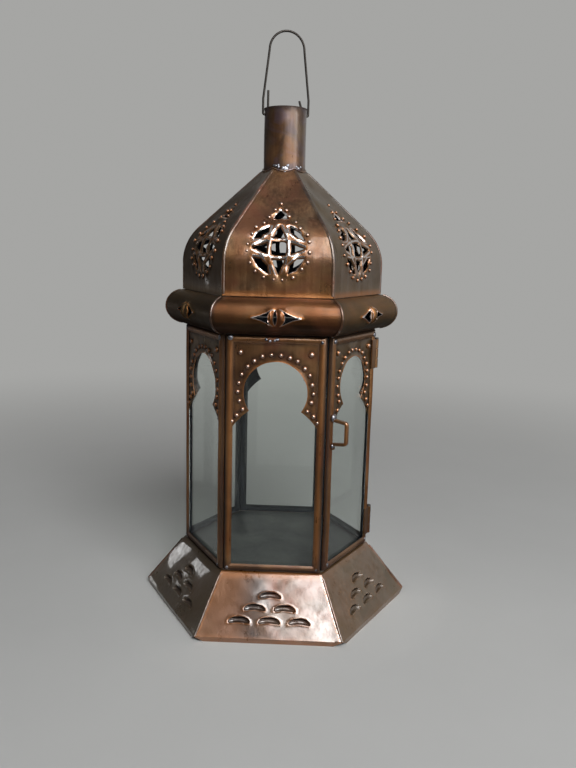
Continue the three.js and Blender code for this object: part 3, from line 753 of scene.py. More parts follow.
def new_piece(name, points, faces, finishes, slots=None, **marks):
    """A smooth mesh object with sharp creases, at the origin."""
    mesh = new_mesh(name, points, faces=faces, finishes=finishes)
    if slots is not None:
        mesh.polygons.foreach_set("material_index", np.asarray(slots, np.int32))
    for title, values in marks.items():
        mark(mesh, title, values)
    mesh.shade_smooth()
    mesh.set_sharp_from_angle(angle=SHARP)
    return in_scene(name, mesh)


def settle(piece, body, slot, *nodes):
    """The piece rides on a body and stands for some nodes. The slot is not used."""
    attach(piece, body)
    if nodes:
        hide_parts(*nodes)


def sheet_piece(name, blank, points, normals, rub, side, finish):
    """A bent blank with a second skin behind it and a rim along its cuts."""
    count = len(points)
    skins = np.concatenate([turned(points, side), turned(points - normals * SHEET, side)])
    a, b = blank.rim.T
    rims = stacked(b, a, a + count, b + count)
    faces = [*blank.faces.tolist(), *(blank.faces[:, ::-1] + count).tolist(), *rims.tolist()]
    slots = [0] * len(blank.faces) + [1] * len(blank.faces) + [0] * len(rims)
    rub, olive = np.concatenate([rub, rub]), np.full(2 * count, TEMPER[side])
    return new_piece(name, skins, faces, [finish, inside_shade], slots, rub=rub, olive=olive)


def bent_piece(name, node, bend, blank, relief, rub, side, finish):
    """A blank bent with its relief, made solid and put in the place of a node."""
    points, normals = bend.place(blank.flat, relief)
    piece = sheet_piece(name, blank, points, normals, rub, side, finish)
    settle(piece, "lantern", "copper_sheet", node)


print("sheets can be made solid")

# %% [markdown]
# ## Dome petals
# Six petals make the onion dome: an upright foot, a round shoulder and a straight slope to
# the neck. Each is pierced with a round medallion, where two pointed ovals cross as narrow
# bars, and a small triangle above it. The chisel presses the sheet in along every cut, so
# the bars are round, with bright ridges worn bare and painted as a highlight, and each petal
# is dented in its own way.

# %% Dome petals
DOME_CORNER = 28.5 * MM
DOME_SHOULDER = 30.0 * MM
DOME_SLOPE = math.radians(46)
MEDALLION_LEVEL = 26.5 * MM
MEDALLION_RADIUS = 14.9 * MM
OVAL_INNER = 14.2 * MM, 3.9 * MM  # half length and half width inside the bars
OVAL_OUTER = 34.0 * MM, 6.6 * MM  # outside the bars, which the ring cuts off
WEB = 16.0 * MM
CAP_FOOT, CAP_TIP, CAP_HALF = 20.5 * MM, 27.0 * MM, 4.4 * MM
NECK_CLEAR = 0.3 * MM
CURVE_STEPS = 24


def curve_through(start, control, end):
    """Points of a curve from start to end, pulled towards a control point."""
    share = np.linspace(0, 1, CURVE_STEPS, endpoint=False)[:, None]
    start, control, end = (np.array(p, float) for p in (start, control, end))
    return (1 - share) ** 2 * start + 2 * share * (1 - share) * control + share ** 2 * end


def pointed_oval(half_length, half_width):
    """A closed line with a point at its top and at its foot."""
    high, low = (0, half_length), (0, -half_length)
    left, right = (-2 * half_width, 0), (2 * half_width, 0)
    return np.concatenate([curve_through(high, left, low), curve_through(low, right, high)])


def hand_cut(loop, amount, seed):
    """A closed line as a hand would chisel it."""
    return loop + amount * stacked(*[uneven(loop, 9 * MM, seed + k) for k in (0, 50)])


ring_angles = np.linspace(0, math.tau, 96, endpoint=False)
circle = stacked(np.cos(ring_angles), np.sin(ring_angles))
peak_reach = neck.half * math.cos(TURN / 2) - 2 * SEAM
peak_height = dome.foot + DOME_CORNER + (dome.face - peak_reach) * math.tan(DOME_SLOPE)
dome_bend = Bend(
    [(dome.face, dome.foot), (dome.face, dome.foot + DOME_CORNER), (peak_reach, peak_height)],
    [DOME_SHOULDER])
middle = np.array([0, MEDALLION_LEVEL])
medallion = middle + hand_cut(circle * MEDALLION_RADIUS, 0.15 * MM, 3)
ovals = []
for lying in (False, True):
    for k, size in enumerate((OVAL_OUTER, OVAL_INNER)):
        oval = pointed_oval(*size)
        oval = oval[:, ::-1] * (1, -1) if lying else oval
        ovals.append(middle + hand_cut(oval, 0.15 * MM, 11 + k + 2 * lying))
web = walked(WEB * np.array([(1, 0), (0, 1), (-1, 0), (0, -1)]), 2 * MM)
web = middle + hand_cut(web, 0.2 * MM, 17)
cap = middle + np.array([(-CAP_HALF, CAP_FOOT), (CAP_HALF, CAP_FOOT), (0, CAP_TIP)])


def petal_openings(points):
    """True for each point that the piercings of a petal take away."""
    upright = inside(points, ovals[0]) & ~inside(points, ovals[1])
    lying = inside(points, ovals[2]) & ~inside(points, ovals[3])
    webbed = inside(points, web) & ~inside(points, ovals[0]) & ~inside(points, ovals[2])
    return (inside(points, medallion) & ~upright & ~lying & ~webbed) | inside(points, cap)


ring_reach = neck.half + NECK_CLEAR
slope = dome_bend.reach < dome.face - DOME_SHOULDER * (1 - math.sin(DOME_SLOPE)) + SEAM
corner_along = np.interp(
    -ring_reach * math.cos(TURN / 2), -dome_bend.reach[slope], dome_bend.along[slope])
right_edge = dome_bend.mitred(0, corner_along)
crossing = np.linspace(right_edge[-1, 0], -right_edge[-1, 0], 16)[1:-1]
hollow = np.interp(
    -np.sqrt(ring_reach ** 2 - crossing ** 2), -dome_bend.reach[slope], dome_bend.along[slope])
top_edge = stacked(crossing, hollow)
petal = cut_blank(
    mirrored(right_edge, top_edge), [medallion, *ovals, web, cap], petal_openings)

MEDALLION_BORDER = 17.4 * MM
BORDER_GAP = 5.6 * MM
BORDER_BEAD = 1.15 * MM
BORDER_APEX = 31.5 * MM


def border_beads():
    """Flat places of the beads round the medallion and up to the point above it."""
    swing = np.radians(np.linspace(55, -235, 120))
    line = stacked(np.cos(swing), np.sin(swing)) * MEDALLION_BORDER
    left = curve_through(line[-1], (-5.6 * MM, 21 * MM), (0, BORDER_APEX))
    right = curve_through((0, BORDER_APEX), (5.6 * MM, 21 * MM), line[0])
    line = np.concatenate([right, line, left])
    walk = np.concatenate([[0], np.cumsum(np.hypot(*np.diff(line, axis=0).T))])
    count = round(walk[-1] / BORDER_GAP)
    stops = np.linspace(0, walk[-1], count, endpoint=False)
    return middle + stacked(*[np.interp(stops, walk, part) for part in line.T])


EDGE_ROLL, EDGE_DEPTH = 1.7 * MM, 1.3 * MM  # how far a chiselled edge rolls over
BAR_RIDGE = 1.3 * MM  # cut to the middle of a bar
PETAL_DENT, PETAL_RIPPLE = 0.22 * MM, 0.035 * MM
PETAL_TWIST, PETAL_FLANGE = 0.6 * MM, 0.25 * MM  # of the bars, and at the foot


def rolled_in(blank, seed):
    """How deep the sheet is pressed in beside its cuts."""
    ragged = np.clip(1 + 0.45 * uneven(blank.flat, 4 * MM, seed), 0.3, 1.7)
    lean = np.clip(1 - blank.cut / EDGE_ROLL, 0, 0.98)
    return EDGE_DEPTH * ragged * (1 - np.sqrt(1 - lean ** 2))


border = border_beads()
bead_gap = distance_to(petal.flat, border)
on_bars = np.hypot(*(petal.flat - middle).T) < MEDALLION_RADIUS
# On the bars, bare metal along the ridge is wear and also a painted highlight, and the cut edges
# are painted darker as shade.
bar_wear_and_highlight = bump_at(petal.cut - BAR_RIDGE, 0.6 * MM) - 0.25 * bump_at(petal.cut, 0.4 * MM)
chisel_wear_and_highlight = np.where(on_bars, bar_wear_and_highlight, bump_at(petal.cut, 1.25 * MM))
level = petal.flat[:, 1]
flange = PETAL_FLANGE * bump_at(level, 1.0 * MM)
foot = 0.48 * bump_at(level - 1.0 * MM, 2.4 * MM)
edges = 0.5 * bump_at(petal.edge, 1.2 * MM) * (level > 3 * MM)
# Painted shade: the lower part of each petal is made darker.
painted_low_shade = 0.3 * bump_at(level - 13 * MM, 10 * MM)
# Dirt and painted shade in a ring round the foot of each bead.
grime_and_shade = 0.45 * bump_at(bead_gap - 1.3 * MM, 0.7 * MM)

for side, name in enumerate(SIDES):
    dents = PETAL_DENT * uneven(petal.flat, 26 * MM, 20 + side)
    dents = dents + PETAL_RIPPLE * uneven(petal.flat, 9 * MM, 220 + side)
    dents = dents * ramp(petal.edge, 6 * MM)
    twist = PETAL_TWIST * uneven(petal.flat, 8 * MM, 150 + side) * np.exp(-petal.cut / (2 * MM))
    relief = dents + twist + flange - rolled_in(petal, side)
    wear_and_light_mask = np.clip(1.3 + 0.6 * uneven(petal.flat, 9 * MM, 170 + side), 0.4, 1.6)
    rub = wear_and_light_mask * chisel_wear_and_highlight - edges + foot - painted_low_shade - 0.8 * SIDE_SHADE[side] - grime_and_shade
    bent_piece(
        f"petal_{name}", f"dome_petal_{name}", dome_bend, petal, relief, rub, side, copper)
print(f"six petals, {len(petal.faces)} triangles on each face")

# %% [markdown]
# ## Cornice rolls
# Between walls and dome runs a half-round moulding, mitred at six corners. In the middle of
# each side is an eye: two dark pointed corners with a pair of almond leaves between them,
# pushed out from behind. The leaves are a relief on the blank, so the sheet stays whole.

# %% Cornice rolls
EYE_HALF, EYE_HIGH = 12.3 * MM, 4.6 * MM
LEAF_ROOT, LEAF_BELLY, LEAF_SLIT = 1.8 * MM, 4.9 * MM, 0.9 * MM
LEAF_BULGE, LEAF_SLIT_PLACE = 2.3 * MM, -0.7 * MM
LID_REACH, LID_LIFT = 5.6 * MM, 2.2 * MM
LID_HEIGHT, CREASE_HEIGHT, ROLL_DENT = 1.0 * MM, 0.6 * MM, 0.16 * MM
HALF_ROUND = 0.999  # two quarter rounds, with a hair of straight between them

roll_radius = (roll.top - roll.foot) / 2
roll_bend = Bend(
    [(roll.back, roll.foot), (roll.face, roll.foot), (roll.face, roll.top), (roll.back, roll.top)],
    [roll_radius * HALF_ROUND] * 2)
roll_end = roll_bend.along[-1]
eye_middle = np.array([0, roll_end / 2])


def eye_corner(side):
    """One dark corner of the eye, from its tip to the belly of a leaf."""
    tip = (side * EYE_HALF, 0)
    high, low = (side * LEAF_ROOT, EYE_HIGH), (side * LEAF_ROOT, -EYE_HIGH)
    pull = side * LID_REACH
    belly = (side * (2 * LEAF_BELLY - LEAF_ROOT), 0)
    return np.concatenate([
        curve_through(tip, (pull, LID_LIFT), high), curve_through(high, belly, low),
        curve_through(low, (pull, -LID_LIFT), tip),
    ])


eyes = [eye_middle + hand_cut(eye_corner(side), 0.1 * MM, 31 + side) for side in (-1, 1)]
eyes.append(eye_middle + pointed_oval(EYE_HIGH, LEAF_SLIT) + (LEAF_SLIT_PLACE, 0))
roll_blank = cut_blank(mirrored(roll_bend.mitred(0, roll_end)), eyes, openings(eyes))
across, along = (roll_blank.flat - eye_middle).T
leaves = hump(across + 3.2 * MM, 1.9 * MM) + hump(across - 2.4 * MM, 2.6 * MM)
leaves = leaves * hump(along, 5.4 * MM)
lids = np.exp(-roll_blank.cut / (0.8 * MM)) * (np.abs(across) > 4.2 * MM)
crease = bump_at(along, 0.5 * MM) * bump_at(np.abs(across) - EYE_HALF - 0.5 * MM, 1.6 * MM)
# Painted shade: the lower part of each roll is made darker.
painted_low_shade = 0.8 * ramp(-3 * MM - along, 8 * MM)
wear_and_light_mask = 0.85 * bump_at(roll_blank.cut, 0.6 * MM) + 0.8 * crease + 0.08 - painted_low_shade
# Dirt and painted shade along the roll's edges, where it meets its neighbours.
grime_and_shade = 0.6 * bump_at(roll_blank.edge, 1.2 * MM)

for side, name in enumerate(SIDES):
    dents = ROLL_DENT * uneven(roll_blank.flat, 24 * MM, 40 + side)
    dents = dents * ramp(roll_blank.edge, 5 * MM)
    relief = LEAF_BULGE * leaves + LID_HEIGHT * lids + CREASE_HEIGHT * crease + dents
    rub = wear_and_light_mask - grime_and_shade - SIDE_SHADE[side]
    bent_piece(f"roll_{name}", f"cornice_roll_{name}", roll_bend, roll_blank, relief, rub, side,
               rolled_copper)
print(f"six rolls, {len(roll_blank.faces)} triangles on each face")

# %% [markdown]
# ## Skirt trays
# The foot is six sloping trays with a short upright rim below. Each has six bean-shaped
# pockets, struck in with a curved punch that just splits the sheet under the upper edge.
# The pockets are a relief on the blank, drawn from one formula that is 0 in the middle of
# a bean and 1 on its outline, so depth, rim and the painted shade inside all follow the same
# shape.

# %% Skirt trays
RIM_HEIGHT = 2.4 * MM
RIM_CLIP = 5.0 * MM
CRESCENT_START, CRESCENT_ROW, CRESCENT_PITCH = 10.9 * MM, 7.1 * MM, 17.3 * MM
BEAN_HALF, BEAN_THICK, BEAN_RISE, BEAN_DEPTH = 6.3 * MM, 1.7 * MM, 1.4 * MM, 1.9 * MM
SLIT_HALF, SLIT_PLACE, SLIT_OPENING = 0.82, 0.9, 0.6 * MM
RIDGE_PLACE, RIDGE_WIDTH, RIDGE_HEIGHT = 0.9 * MM, 0.6 * MM, 0.35 * MM
TRAY_CROWN, TRAY_DENT, BEAN_LIP = 0.5 * MM, 0.22 * MM, 0.2 * MM
TRAY_RIPPLE, SMOOTH_RIPPLE = 0.05 * MM, 0.008 * MM  # on most trays, and on the one in painted shade

skirt_bend = Bend(
    [(skirt.face, 0), (skirt.face, RIM_HEIGHT), (wall.face, skirt.top), (skirt.back, skirt.top)],
    [1.0 * MM, 0.8 * MM])
skirt_end = skirt_bend.along[-1]
ledge_start = skirt_end - (wall.face - skirt.back)
tray_edge = skirt_bend.mitred(RIM_HEIGHT, skirt_end)
rim_corner = [tray_edge[0, 0] - RIM_CLIP, 0]
tray_outline = mirrored(np.concatenate([[rim_corner], tray_edge]))


def bean_line(share, level):
    """Height above the bean's ends, at a share of its length and of its thickness."""
    return BEAN_RISE * (1 - share ** 2) + level * BEAN_THICK * np.sqrt(1 - share ** 4)


def bean_loop(share, high, low):
    """A closed line between two edges over the same shares of a bean's length."""
    upper, lower = (stacked(share * BEAN_HALF, edge) for edge in (high, low))
    return np.concatenate([upper, lower[-2:0:-1]])


share = np.cos(np.linspace(0, math.pi, 24))
bean_outline = bean_loop(share, bean_line(share, 1), bean_line(share, -1))
share = SLIT_HALF * np.cos(np.linspace(0, math.pi, 20))
high = bean_line(share, SLIT_PLACE)
bean_slit = bean_loop(share, high, high - SLIT_OPENING * np.sqrt(hump(share, SLIT_HALF)))
bean_places = [
    np.array([(i - row / 2) * CRESCENT_PITCH,
              ledge_start - CRESCENT_START - row * CRESCENT_ROW - BEAN_RISE - BEAN_THICK])
    for row in range(3) for i in range(row + 1)
]
beans = [place + hand_cut(bean_outline, 0.1 * MM, 60 + k) for k, place in enumerate(bean_places)]
slits = [place + bean_slit for place in bean_places]
tray = cut_blank(tray_outline, beans + slits, openings(slits))
x, along = tray.flat.T
on_slope = ramp(ledge_start - 0.5 * MM - along, 3 * MM)
on_slope = on_slope * ramp(along - RIM_HEIGHT + 1 * MM, 2 * MM)
ridge = bump_at(along - RIM_HEIGHT + 0.4 * MM - RIDGE_PLACE, RIDGE_WIDTH)
to_hip = skirt_bend.reach_at(along) * MITRE - np.abs(x)
# Painted highlight along the hips, stronger on the right-hand edge.
hip_highlight = bump_at(to_hip - 1.1 * MM, 0.5 * MM) * np.where(x > 0, 0.9, 0.3)
pocket, lip = np.zeros(len(x)), np.zeros(len(x))
for left, foot in bean_places:
    share = (x - left) / BEAN_HALF
    level = (along - foot - BEAN_RISE * (1 - share ** 2)) / BEAN_THICK
    bean = np.sqrt(level ** 2 + share ** 4)
    pocket += hump(bean, 1) ** 0.6
    lip += bump_at(bean - 1.15, 0.16)
crown = TRAY_CROWN * hump(x, 36 * MM)
# Painted light: the left of each tray is made warmer, for how the light falls across it.
glow = 0.22 * ramp(-x - 9 * MM, 12 * MM) * (1 - pocket)
# The rim's ridge and the pocket lips get wear and also a painted highlight.
wear_and_light_mask = on_slope * (0.35 * ridge + hip_highlight + glow) + 0.3 * lip + 0.3 * (along < RIM_HEIGHT)
wear_and_light_mask = wear_and_light_mask + 0.45 * bump_at(along - ledge_start + 1 * MM, 2.2 * MM)

for side, name in enumerate(SIDES):
    ripple = SMOOTH_RIPPLE if SIDE_SHADE[side] else TRAY_RIPPLE
    dents = TRAY_DENT * uneven(tray.flat, 30 * MM, 80 + side)
    dents = dents + ripple * uneven(tray.flat, 9 * MM, 240 + side)
    relief = on_slope * (RIDGE_HEIGHT * ridge + crown + dents + BEAN_LIP * lip)
    relief = relief - BEAN_DEPTH * pocket
    # Painted shade inside the pockets.
    rub = wear_and_light_mask * (1 - TEMPER[side]) - 0.65 * pocket - SIDE_SHADE[side]
    bent_piece(
        f"tray_{name}", f"skirt_panel_{name}", skirt_bend, tray, relief, rub, side, skirt_copper)
print(f"six trays, {len(tray.faces)} triangles on each face")

# %% [markdown]
# ## Arch plates
# In the top of every window sits a plate cut as a keyhole arch with sloping shoulders. It is
# flat, apart from the dimples that the bead punch leaves round the arch. The door's arch is
# narrower, because the door needs room to swing.

# %% Arch plates
SHOULDER_FALL, SHOULDER_BULGE = 24.0 * MM, 0.62
BEAD_OFFSET, BEAD_LIFT = 3.1 * MM, 1.0 * MM  # rim of the arch to the row of beads
SHOULDER_BEADS = ((6.7 * MM, 2.6 * MM), (9.7 * MM, 6.1 * MM))  # out and down from a cusp
BOSS_PLACE = (19.6 * MM, 22.8 * MM)
ARCH_BEAD, ARCH_BOSS = 1.4 * MM, 1.8 * MM
ARCH_DENT, ARCH_LIP, DIMPLE = 0.22 * MM, 0.2 * MM, 0.15 * MM


def keyhole(x, z, radius, cusp):
    """A round opening, and the two cusps where it runs into the shoulders."""
    return SimpleNamespace(
        x=x, z=z, radius=radius, cusp=cusp,
        reach=radius * math.cos(cusp), cusp_z=z - radius * math.sin(cusp))


arch_level = wall.top - 32.7 * MM
wall_arch = keyhole(0.0, arch_level, 17.9 * MM, math.radians(35))
door_arch = keyhole(1.0 * MM, wall.top - 30.0 * MM, 15.9 * MM, math.radians(43))


def arch_outline(left, right, top, arch):
    """The plate's closed edge: straight top and sides, two shoulders and the opening."""
    foot = arch_level - SHOULDER_FALL
    bend_z = foot + (arch.cusp_z - foot) * SHOULDER_BULGE
    swing = np.linspace(-arch.cusp, math.pi + arch.cusp, 60, endpoint=False)
    curve = stacked(np.cos(swing), np.sin(swing)) * arch.radius + (arch.x, arch.z)
    shoulders = []
    for edge, cusp_x in ((right, arch.x + arch.reach), (left, arch.x - arch.reach)):
        bend = (cusp_x + (edge - cusp_x) * SHOULDER_BULGE, bend_z)
        shoulders.append(curve_through((edge, foot), bend, (cusp_x, arch.cusp_z)))
    return np.concatenate([
        [(left, foot), (left, top), (right, top)], shoulders[0],
        hand_cut(curve, 0.12 * MM, 7), [(arch.x - arch.reach, arch.cusp_z)], shoulders[1][:0:-1],
    ])[::-1]


def arch_beads(arch):
    """Places of the beads round an arch and of the two bosses in its corners."""
    swing = np.linspace(math.radians(-30), math.radians(210), 18)
    row = arch.radius + BEAD_OFFSET
    level = arch.z + BEAD_LIFT
    beads = [(arch.x + row * math.cos(a), level + row * math.sin(a)) for a in swing]
    for side in (-1, 1):
        cusp_x = arch.x + side * arch.reach
        beads += [(cusp_x + side * out, arch.cusp_z - down) for out, down in SHOULDER_BEADS]
    bosses = [(side * BOSS_PLACE[0], arch_level + BOSS_PLACE[1]) for side in (-1, 1)]
    sizes = [ARCH_BEAD] * len(beads) + [ARCH_BOSS] * len(bosses)
    return np.array(beads + bosses), np.array(sizes)


for side, name in enumerate(SIDES):
    shape, arch, title, node = plate, wall_arch, f"arch_{name}", f"arch_plate_{name}"
    if side == DOOR:
        shape, arch = measured("door_arch_plate", DOOR), door_arch
        title, node = "door_arch", "door_arch_plate"
    blank = cut_blank(arch_outline(shape.left, shape.right, shape.top, arch))
    x, z = blank.flat.T
    dimple = bump_at(distance_to(blank.flat, arch_beads(arch)[0]) - 1.5 * MM, 0.8 * MM)
    arch_rim = np.hypot(x - arch.x, z - arch.z) - arch.radius
    lip = bump_at(arch_rim, 0.7 * MM)
    relief = ARCH_DENT * uneven(blank.flat, 15 * MM, 100 + side)
    relief = relief - DIMPLE * dimple + ARCH_LIP * lip
    normals = np.tile(FORWARD, (len(x), 1))
    points = stacked(x, -shape.face - relief, z)
    # Dirt and painted shade along the plate's edge, under the frame's lip.
    grime_and_shade = 0.9 * bump_at(blank.edge - 2.7 * MM, 1.0 * MM) * (arch_rim > 3 * MM)
    # Dirt and painted shade in the dimples round the beads.
    rub = 0.55 * lip - 0.6 * dimple - grime_and_shade
    piece = sheet_piece(title, blank, points, normals, rub, side, frame_copper)
    settle(piece, BODIES[side], "copper_sheet", node)
print("six arch plates cut")

# %% [markdown]
# ## Window frames
# Each pane is held in a strip folded into a round-faced channel, mitred and soldered at the
# corners. The fold is drawn once as a closed section and carried round the rectangle. At a
# corner both neighbours end on the same mitre, so one ring of points serves both.

# %% Window frames
CHANNEL_WIDTH, BACK_WIDTH = 4.4 * MM, 2.9 * MM
FRONT_EDGE, BACK_EDGE = 2.5 * MM, 1.8 * MM  # where the rounded edge ends
FOLD_STEPS = 9
RAIL_STEPS = 40
FACE_CROWN, LIP_FALL, STRIP = 0.6 * MM, 0.95 * MM, 0.35 * MM


def ring_faces(total, count):
    """Faces between closed rings of points, from each ring to the next and round to the first."""
    return [
        (r * count + i, r * count + (i + 1) % count,
         (r + 1) % total * count + (i + 1) % count, (r + 1) % total * count + i)
        for r in range(total) for i in range(count)
    ]


def channel_section(depth):
    """Inset from the panel's edge and depth from its face, round the folded strip."""
    half = depth / 2
    swing = np.linspace(0, math.pi / 2, FOLD_STEPS)
    share = np.linspace(0, 1, 7)[1:]
    turning = 1 - np.cos(swing)
    front = stacked(FRONT_EDGE * turning, half - (half + FACE_CROWN) * np.sin(swing))
    lip = stacked(FRONT_EDGE + (CHANNEL_WIDTH - FRONT_EDGE) * share,
                  LIP_FALL * share ** 2 - FACE_CROWN)
    back = stacked(BACK_EDGE * turning, half + half * np.sin(swing))
    tail = stacked(BACK_EDGE + (BACK_WIDTH - BACK_EDGE) * share, depth)
    outer = np.concatenate([lip[::-1], front[::-1], back[1:], tail])
    ahead = np.gradient(outer, axis=0)
    inward = stacked(ahead[:, 1], -ahead[:, 0])
    inward /= np.linalg.norm(inward, axis=1)[:, None]
    shown = np.arange(2 * len(outer)) < len(lip) + len(front)
    return np.concatenate([outer, (outer + inward * STRIP)[::-1]]), shown


def channel_frame(name, shape, side, seed):
    """A folded channel carried round one panel."""
    section, shown = channel_section(shape.face - shape.back)
    corners = np.array([(shape.left, shape.foot), (shape.right, shape.foot),
                        (shape.right, shape.top), (shape.left, shape.top)])
    inwards = np.array([(1, 1), (-1, 1), (-1, -1), (1, -1)])
    rings = []
    for k in range(4):
        start = corners[k] + section[:, :1] * inwards[k]
        end = corners[(k + 1) % 4] + section[:, :1] * inwards[(k + 1) % 4]
        for step in range(RAIL_STEPS):
            spot = start + (end - start) * step / RAIL_STEPS
            rings.append(stacked(spot[:, 0], section[:, 1] - shape.face, spot[:, 1]))
    total = len(rings)
    points = np.concatenate(rings)
    points[:, 1] += 0.10 * MM * uneven(points[:, [0, 2]], 30 * MM, seed)
    inset, depth = np.tile(section, (total, 1)).T
    front = depth < (shape.face - shape.back) / 2
    # Wear and painted highlight along the crest of the fold, painted shade in the gap between
    # neighbouring frames.
    wear_and_light_mask = 0.35 * bump_at(inset - 2.6 * MM, 1.0 * MM) - 1.2 * bump_at(inset, 0.8 * MM)
    rub = np.where(front, wear_and_light_mask, -0.25)
    half = (shape.top - shape.foot) / 2
    to_corner = np.abs(np.abs(points[:, 2] - shape.foot - half) - half)
    rub = rub - 0.35 * bump_at(to_corner, 3 * MM)
    # Painted shade on the bottom rail, darkest at the foot.
    rub = rub - 1.0 * bump_at(points[:, 2] - shape.foot, 6.5 * MM)
    slots, faces = np.tile(np.where(shown, 0, 1), total), ring_faces(total, len(section))
    return new_piece(name, turned(points, side), faces, [frame_copper, inside_shade], slots, rub=rub)


for side, name in enumerate(SIDES):
    if side == DOOR:
        piece = channel_frame("door_channel", door, side, 130)
        settle(piece, "door", "copper_sheet", "door_frame")
    else:
        piece = channel_frame(f"channel_{name}", wall, side, 131 + side)
        settle(piece, "lantern", "copper_sheet", f"wall_frame_{name}")
print("six folded frames")

# %% [markdown]
# ## The neck
# A strip rolled into a tube, lapped and soldered at the back, with a hole through each side
# for the wire. It is cut flat with its two holes and rolled, as the real one was.

# %% Neck tube
LAP, LAP_LIFT, RIM_FLARE = 3.0 * MM, 0.55 * MM, 0.35 * MM
BAIL_WIRE = 0.65 * MM  # radius
BAIL_PLAY = 0.3 * MM
TINT_PLACE = (3.7 * MM, 9.0 * MM)  # an arch of heat tint in front
TINT_SIZE = (6.5 * MM, 18.0 * MM)
bail_joint = next(j for j in frame["joints"] if j["name"] == "bail_swing")
bail_yaw = math.atan2(bail_joint["axis"][1], bail_joint["axis"][0])
bail_level = bail_joint["pos_m"][2]

around = math.pi * neck.half
hole = circle[::4] * (BAIL_WIRE + BAIL_PLAY)
holes = [hole + (neck.half * (bail_yaw + k * math.pi / 2), bail_level) for k in (-1, 1)]
neck_outline = [(-around - LAP / 2, neck.foot), (around + LAP / 2, neck.foot),
                (around + LAP / 2, neck.top), (-around - LAP / 2, neck.top)]
neck_blank = cut_blank(neck_outline, holes, openings(holes))
u, z = neck_blank.flat.T
turn = u / neck.half
lapped = LAP_LIFT * ramp(u - around + 2.5 * LAP, 2 * LAP)
loose = 0.16 * MM * np.sin(2 * turn + 0.7) + 0.10 * MM * np.sin(3 * turn + z / (9 * MM))
rim_flare = RIM_FLARE * bump_at(z - neck.top, 1.6 * MM)
radius = neck.half + lapped + loose + rim_flare
normals = stacked(np.sin(turn), -np.cos(turn), 0.0)
points = normals * radius[:, None] + stacked(0.0, 0.0, z)
tint = np.hypot(
    (u - TINT_PLACE[0]) / TINT_SIZE[0], (z - neck.foot - TINT_PLACE[1]) / TINT_SIZE[1])
tint_edge = 0.16 + 0.1 * np.sin(5 * tint + 700 * u)
rub = 0.16 * bump_at(tint, 0.9) - 0.55 * bump_at(tint - 1, tint_edge)
rub = rub - bump_at(z - neck.top, 1.5 * MM) - 0.8 * bump_at(z - neck.foot - 5 * MM, 2.5 * MM)
piece = sheet_piece("neck", neck_blank, points, normals, rub, 0, neck_copper)
settle(piece, "lantern", "copper_sheet", "neck_tube")
print(f"neck rolled, {neck.half * 2 / MM:.0f} mm across")

# %% [markdown]
# ## Punched beads
# Hundreds of small domes edge the arches and the medallions, each struck from behind. A
# Geometry Nodes tree is the tool for what repeats: it takes bare points that carry an
# outward direction and a size, and sets one small dome on each. A touch of noise on the
# finished domes keeps them from looking stamped by a machine.

# %% A tree that sets domes on points
DOME_FOOT = -0.25  # how far a dome goes below its point, for a size of 1


def nodes_tree(name, *floats):
    """A Geometry Nodes tree with named inputs, and a wire to the geometry it is given."""
    tree = bpy.data.node_groups.new(name, "GeometryNodeTree")
    sockets = [("Geometry", "Geometry"), ("Material", "Material")]
    sockets += [(title, "Float") for title in (*floats, "Lumps", "Lump Scale", "Seed")]
    for title, kind in sockets:
        tree.interface.new_socket(title, in_out="INPUT", socket_type="NodeSocket" + kind)
    tree.interface.new_socket("Geometry", in_out="OUTPUT", socket_type="NodeSocketGeometry")
    return tree, Wire(tree).node("NodeGroupInput", output="Geometry")


def close_tree(given, shape):
    """The shape pushed in and out by a noise with a fixed seed, smooth and with its finish."""
    inputs = {"Vector": given.node("GeometryNodeInputPosition"), "Detail": 2.0,
              "W": given.beside("Seed"), "Scale": given.beside("Lump Scale")}
    lumps = given.node("ShaderNodeTexNoise", inputs, "Fac", noise_dimensions="4D")
    normal, push = given.node("GeometryNodeInputNormal"), (lumps - 0.5) * given.beside("Lumps")
    inputs = {0: normal, "Scale": push}
    offset = given.node("ShaderNodeVectorMath", inputs, operation="SCALE")
    shape = given.node("GeometryNodeRealizeInstances", {"Geometry": shape})
    shape = given.node("GeometryNodeSetPosition", {"Geometry": shape, "Offset": offset})
    shape = given.node("GeometryNodeSetShadeSmooth", {"Geometry": shape})
    inputs = {"Geometry": shape, "Material": given.beside("Material")}
    shape = given.node("GeometryNodeSetMaterial", inputs)
    given.node("NodeGroupOutput", {"Geometry": shape})


def dome_tree():
    """A small dome on each given point."""
    tree, given = nodes_tree("domes_on_points", "Height")
    inputs = {"Segments": 10, "Rings": 6, "Radius": 1.0}
    ball = given.node("GeometryNodeMeshUVSphere", inputs)
    spot = given.node("GeometryNodeInputPosition")
    x = given.node("ShaderNodeSeparateXYZ", {"Vector": spot}, "X")
    high = given.sum("MAXIMUM", x.beside("Z"), DOME_FOOT)
    inputs = {"X": x, "Y": x.beside("Y"), "Z": high * given.beside("Height")}
    squat = given.node("ShaderNodeCombineXYZ", inputs)
    # The top of each dome gets wear and a painted highlight.
    inputs = {"Geometry": ball, "Name": "rub", "Value": high.clamped(0.8)}
    marked = given.node("GeometryNodeStoreNamedAttribute", inputs, data_type="FLOAT")
    inputs = {"Geometry": marked, "Position": squat}
    small_dome = given.node("GeometryNodeSetPosition", inputs)
    out, size = (
        given.node("GeometryNodeInputNamedAttribute", {"Name": name}, data_type=kind)
        for name, kind in (("out", "FLOAT_VECTOR"), ("size", "FLOAT"))
    )
    facing = given.node("FunctionNodeAlignRotationToVector", {"Vector": out}, axis="Z")
    inputs = {"Points": given, "Instance": small_dome, "Rotation": facing, "Scale": size}
    close_tree(given, given.node("GeometryNodeInstanceOnPoints", inputs))
    return tree


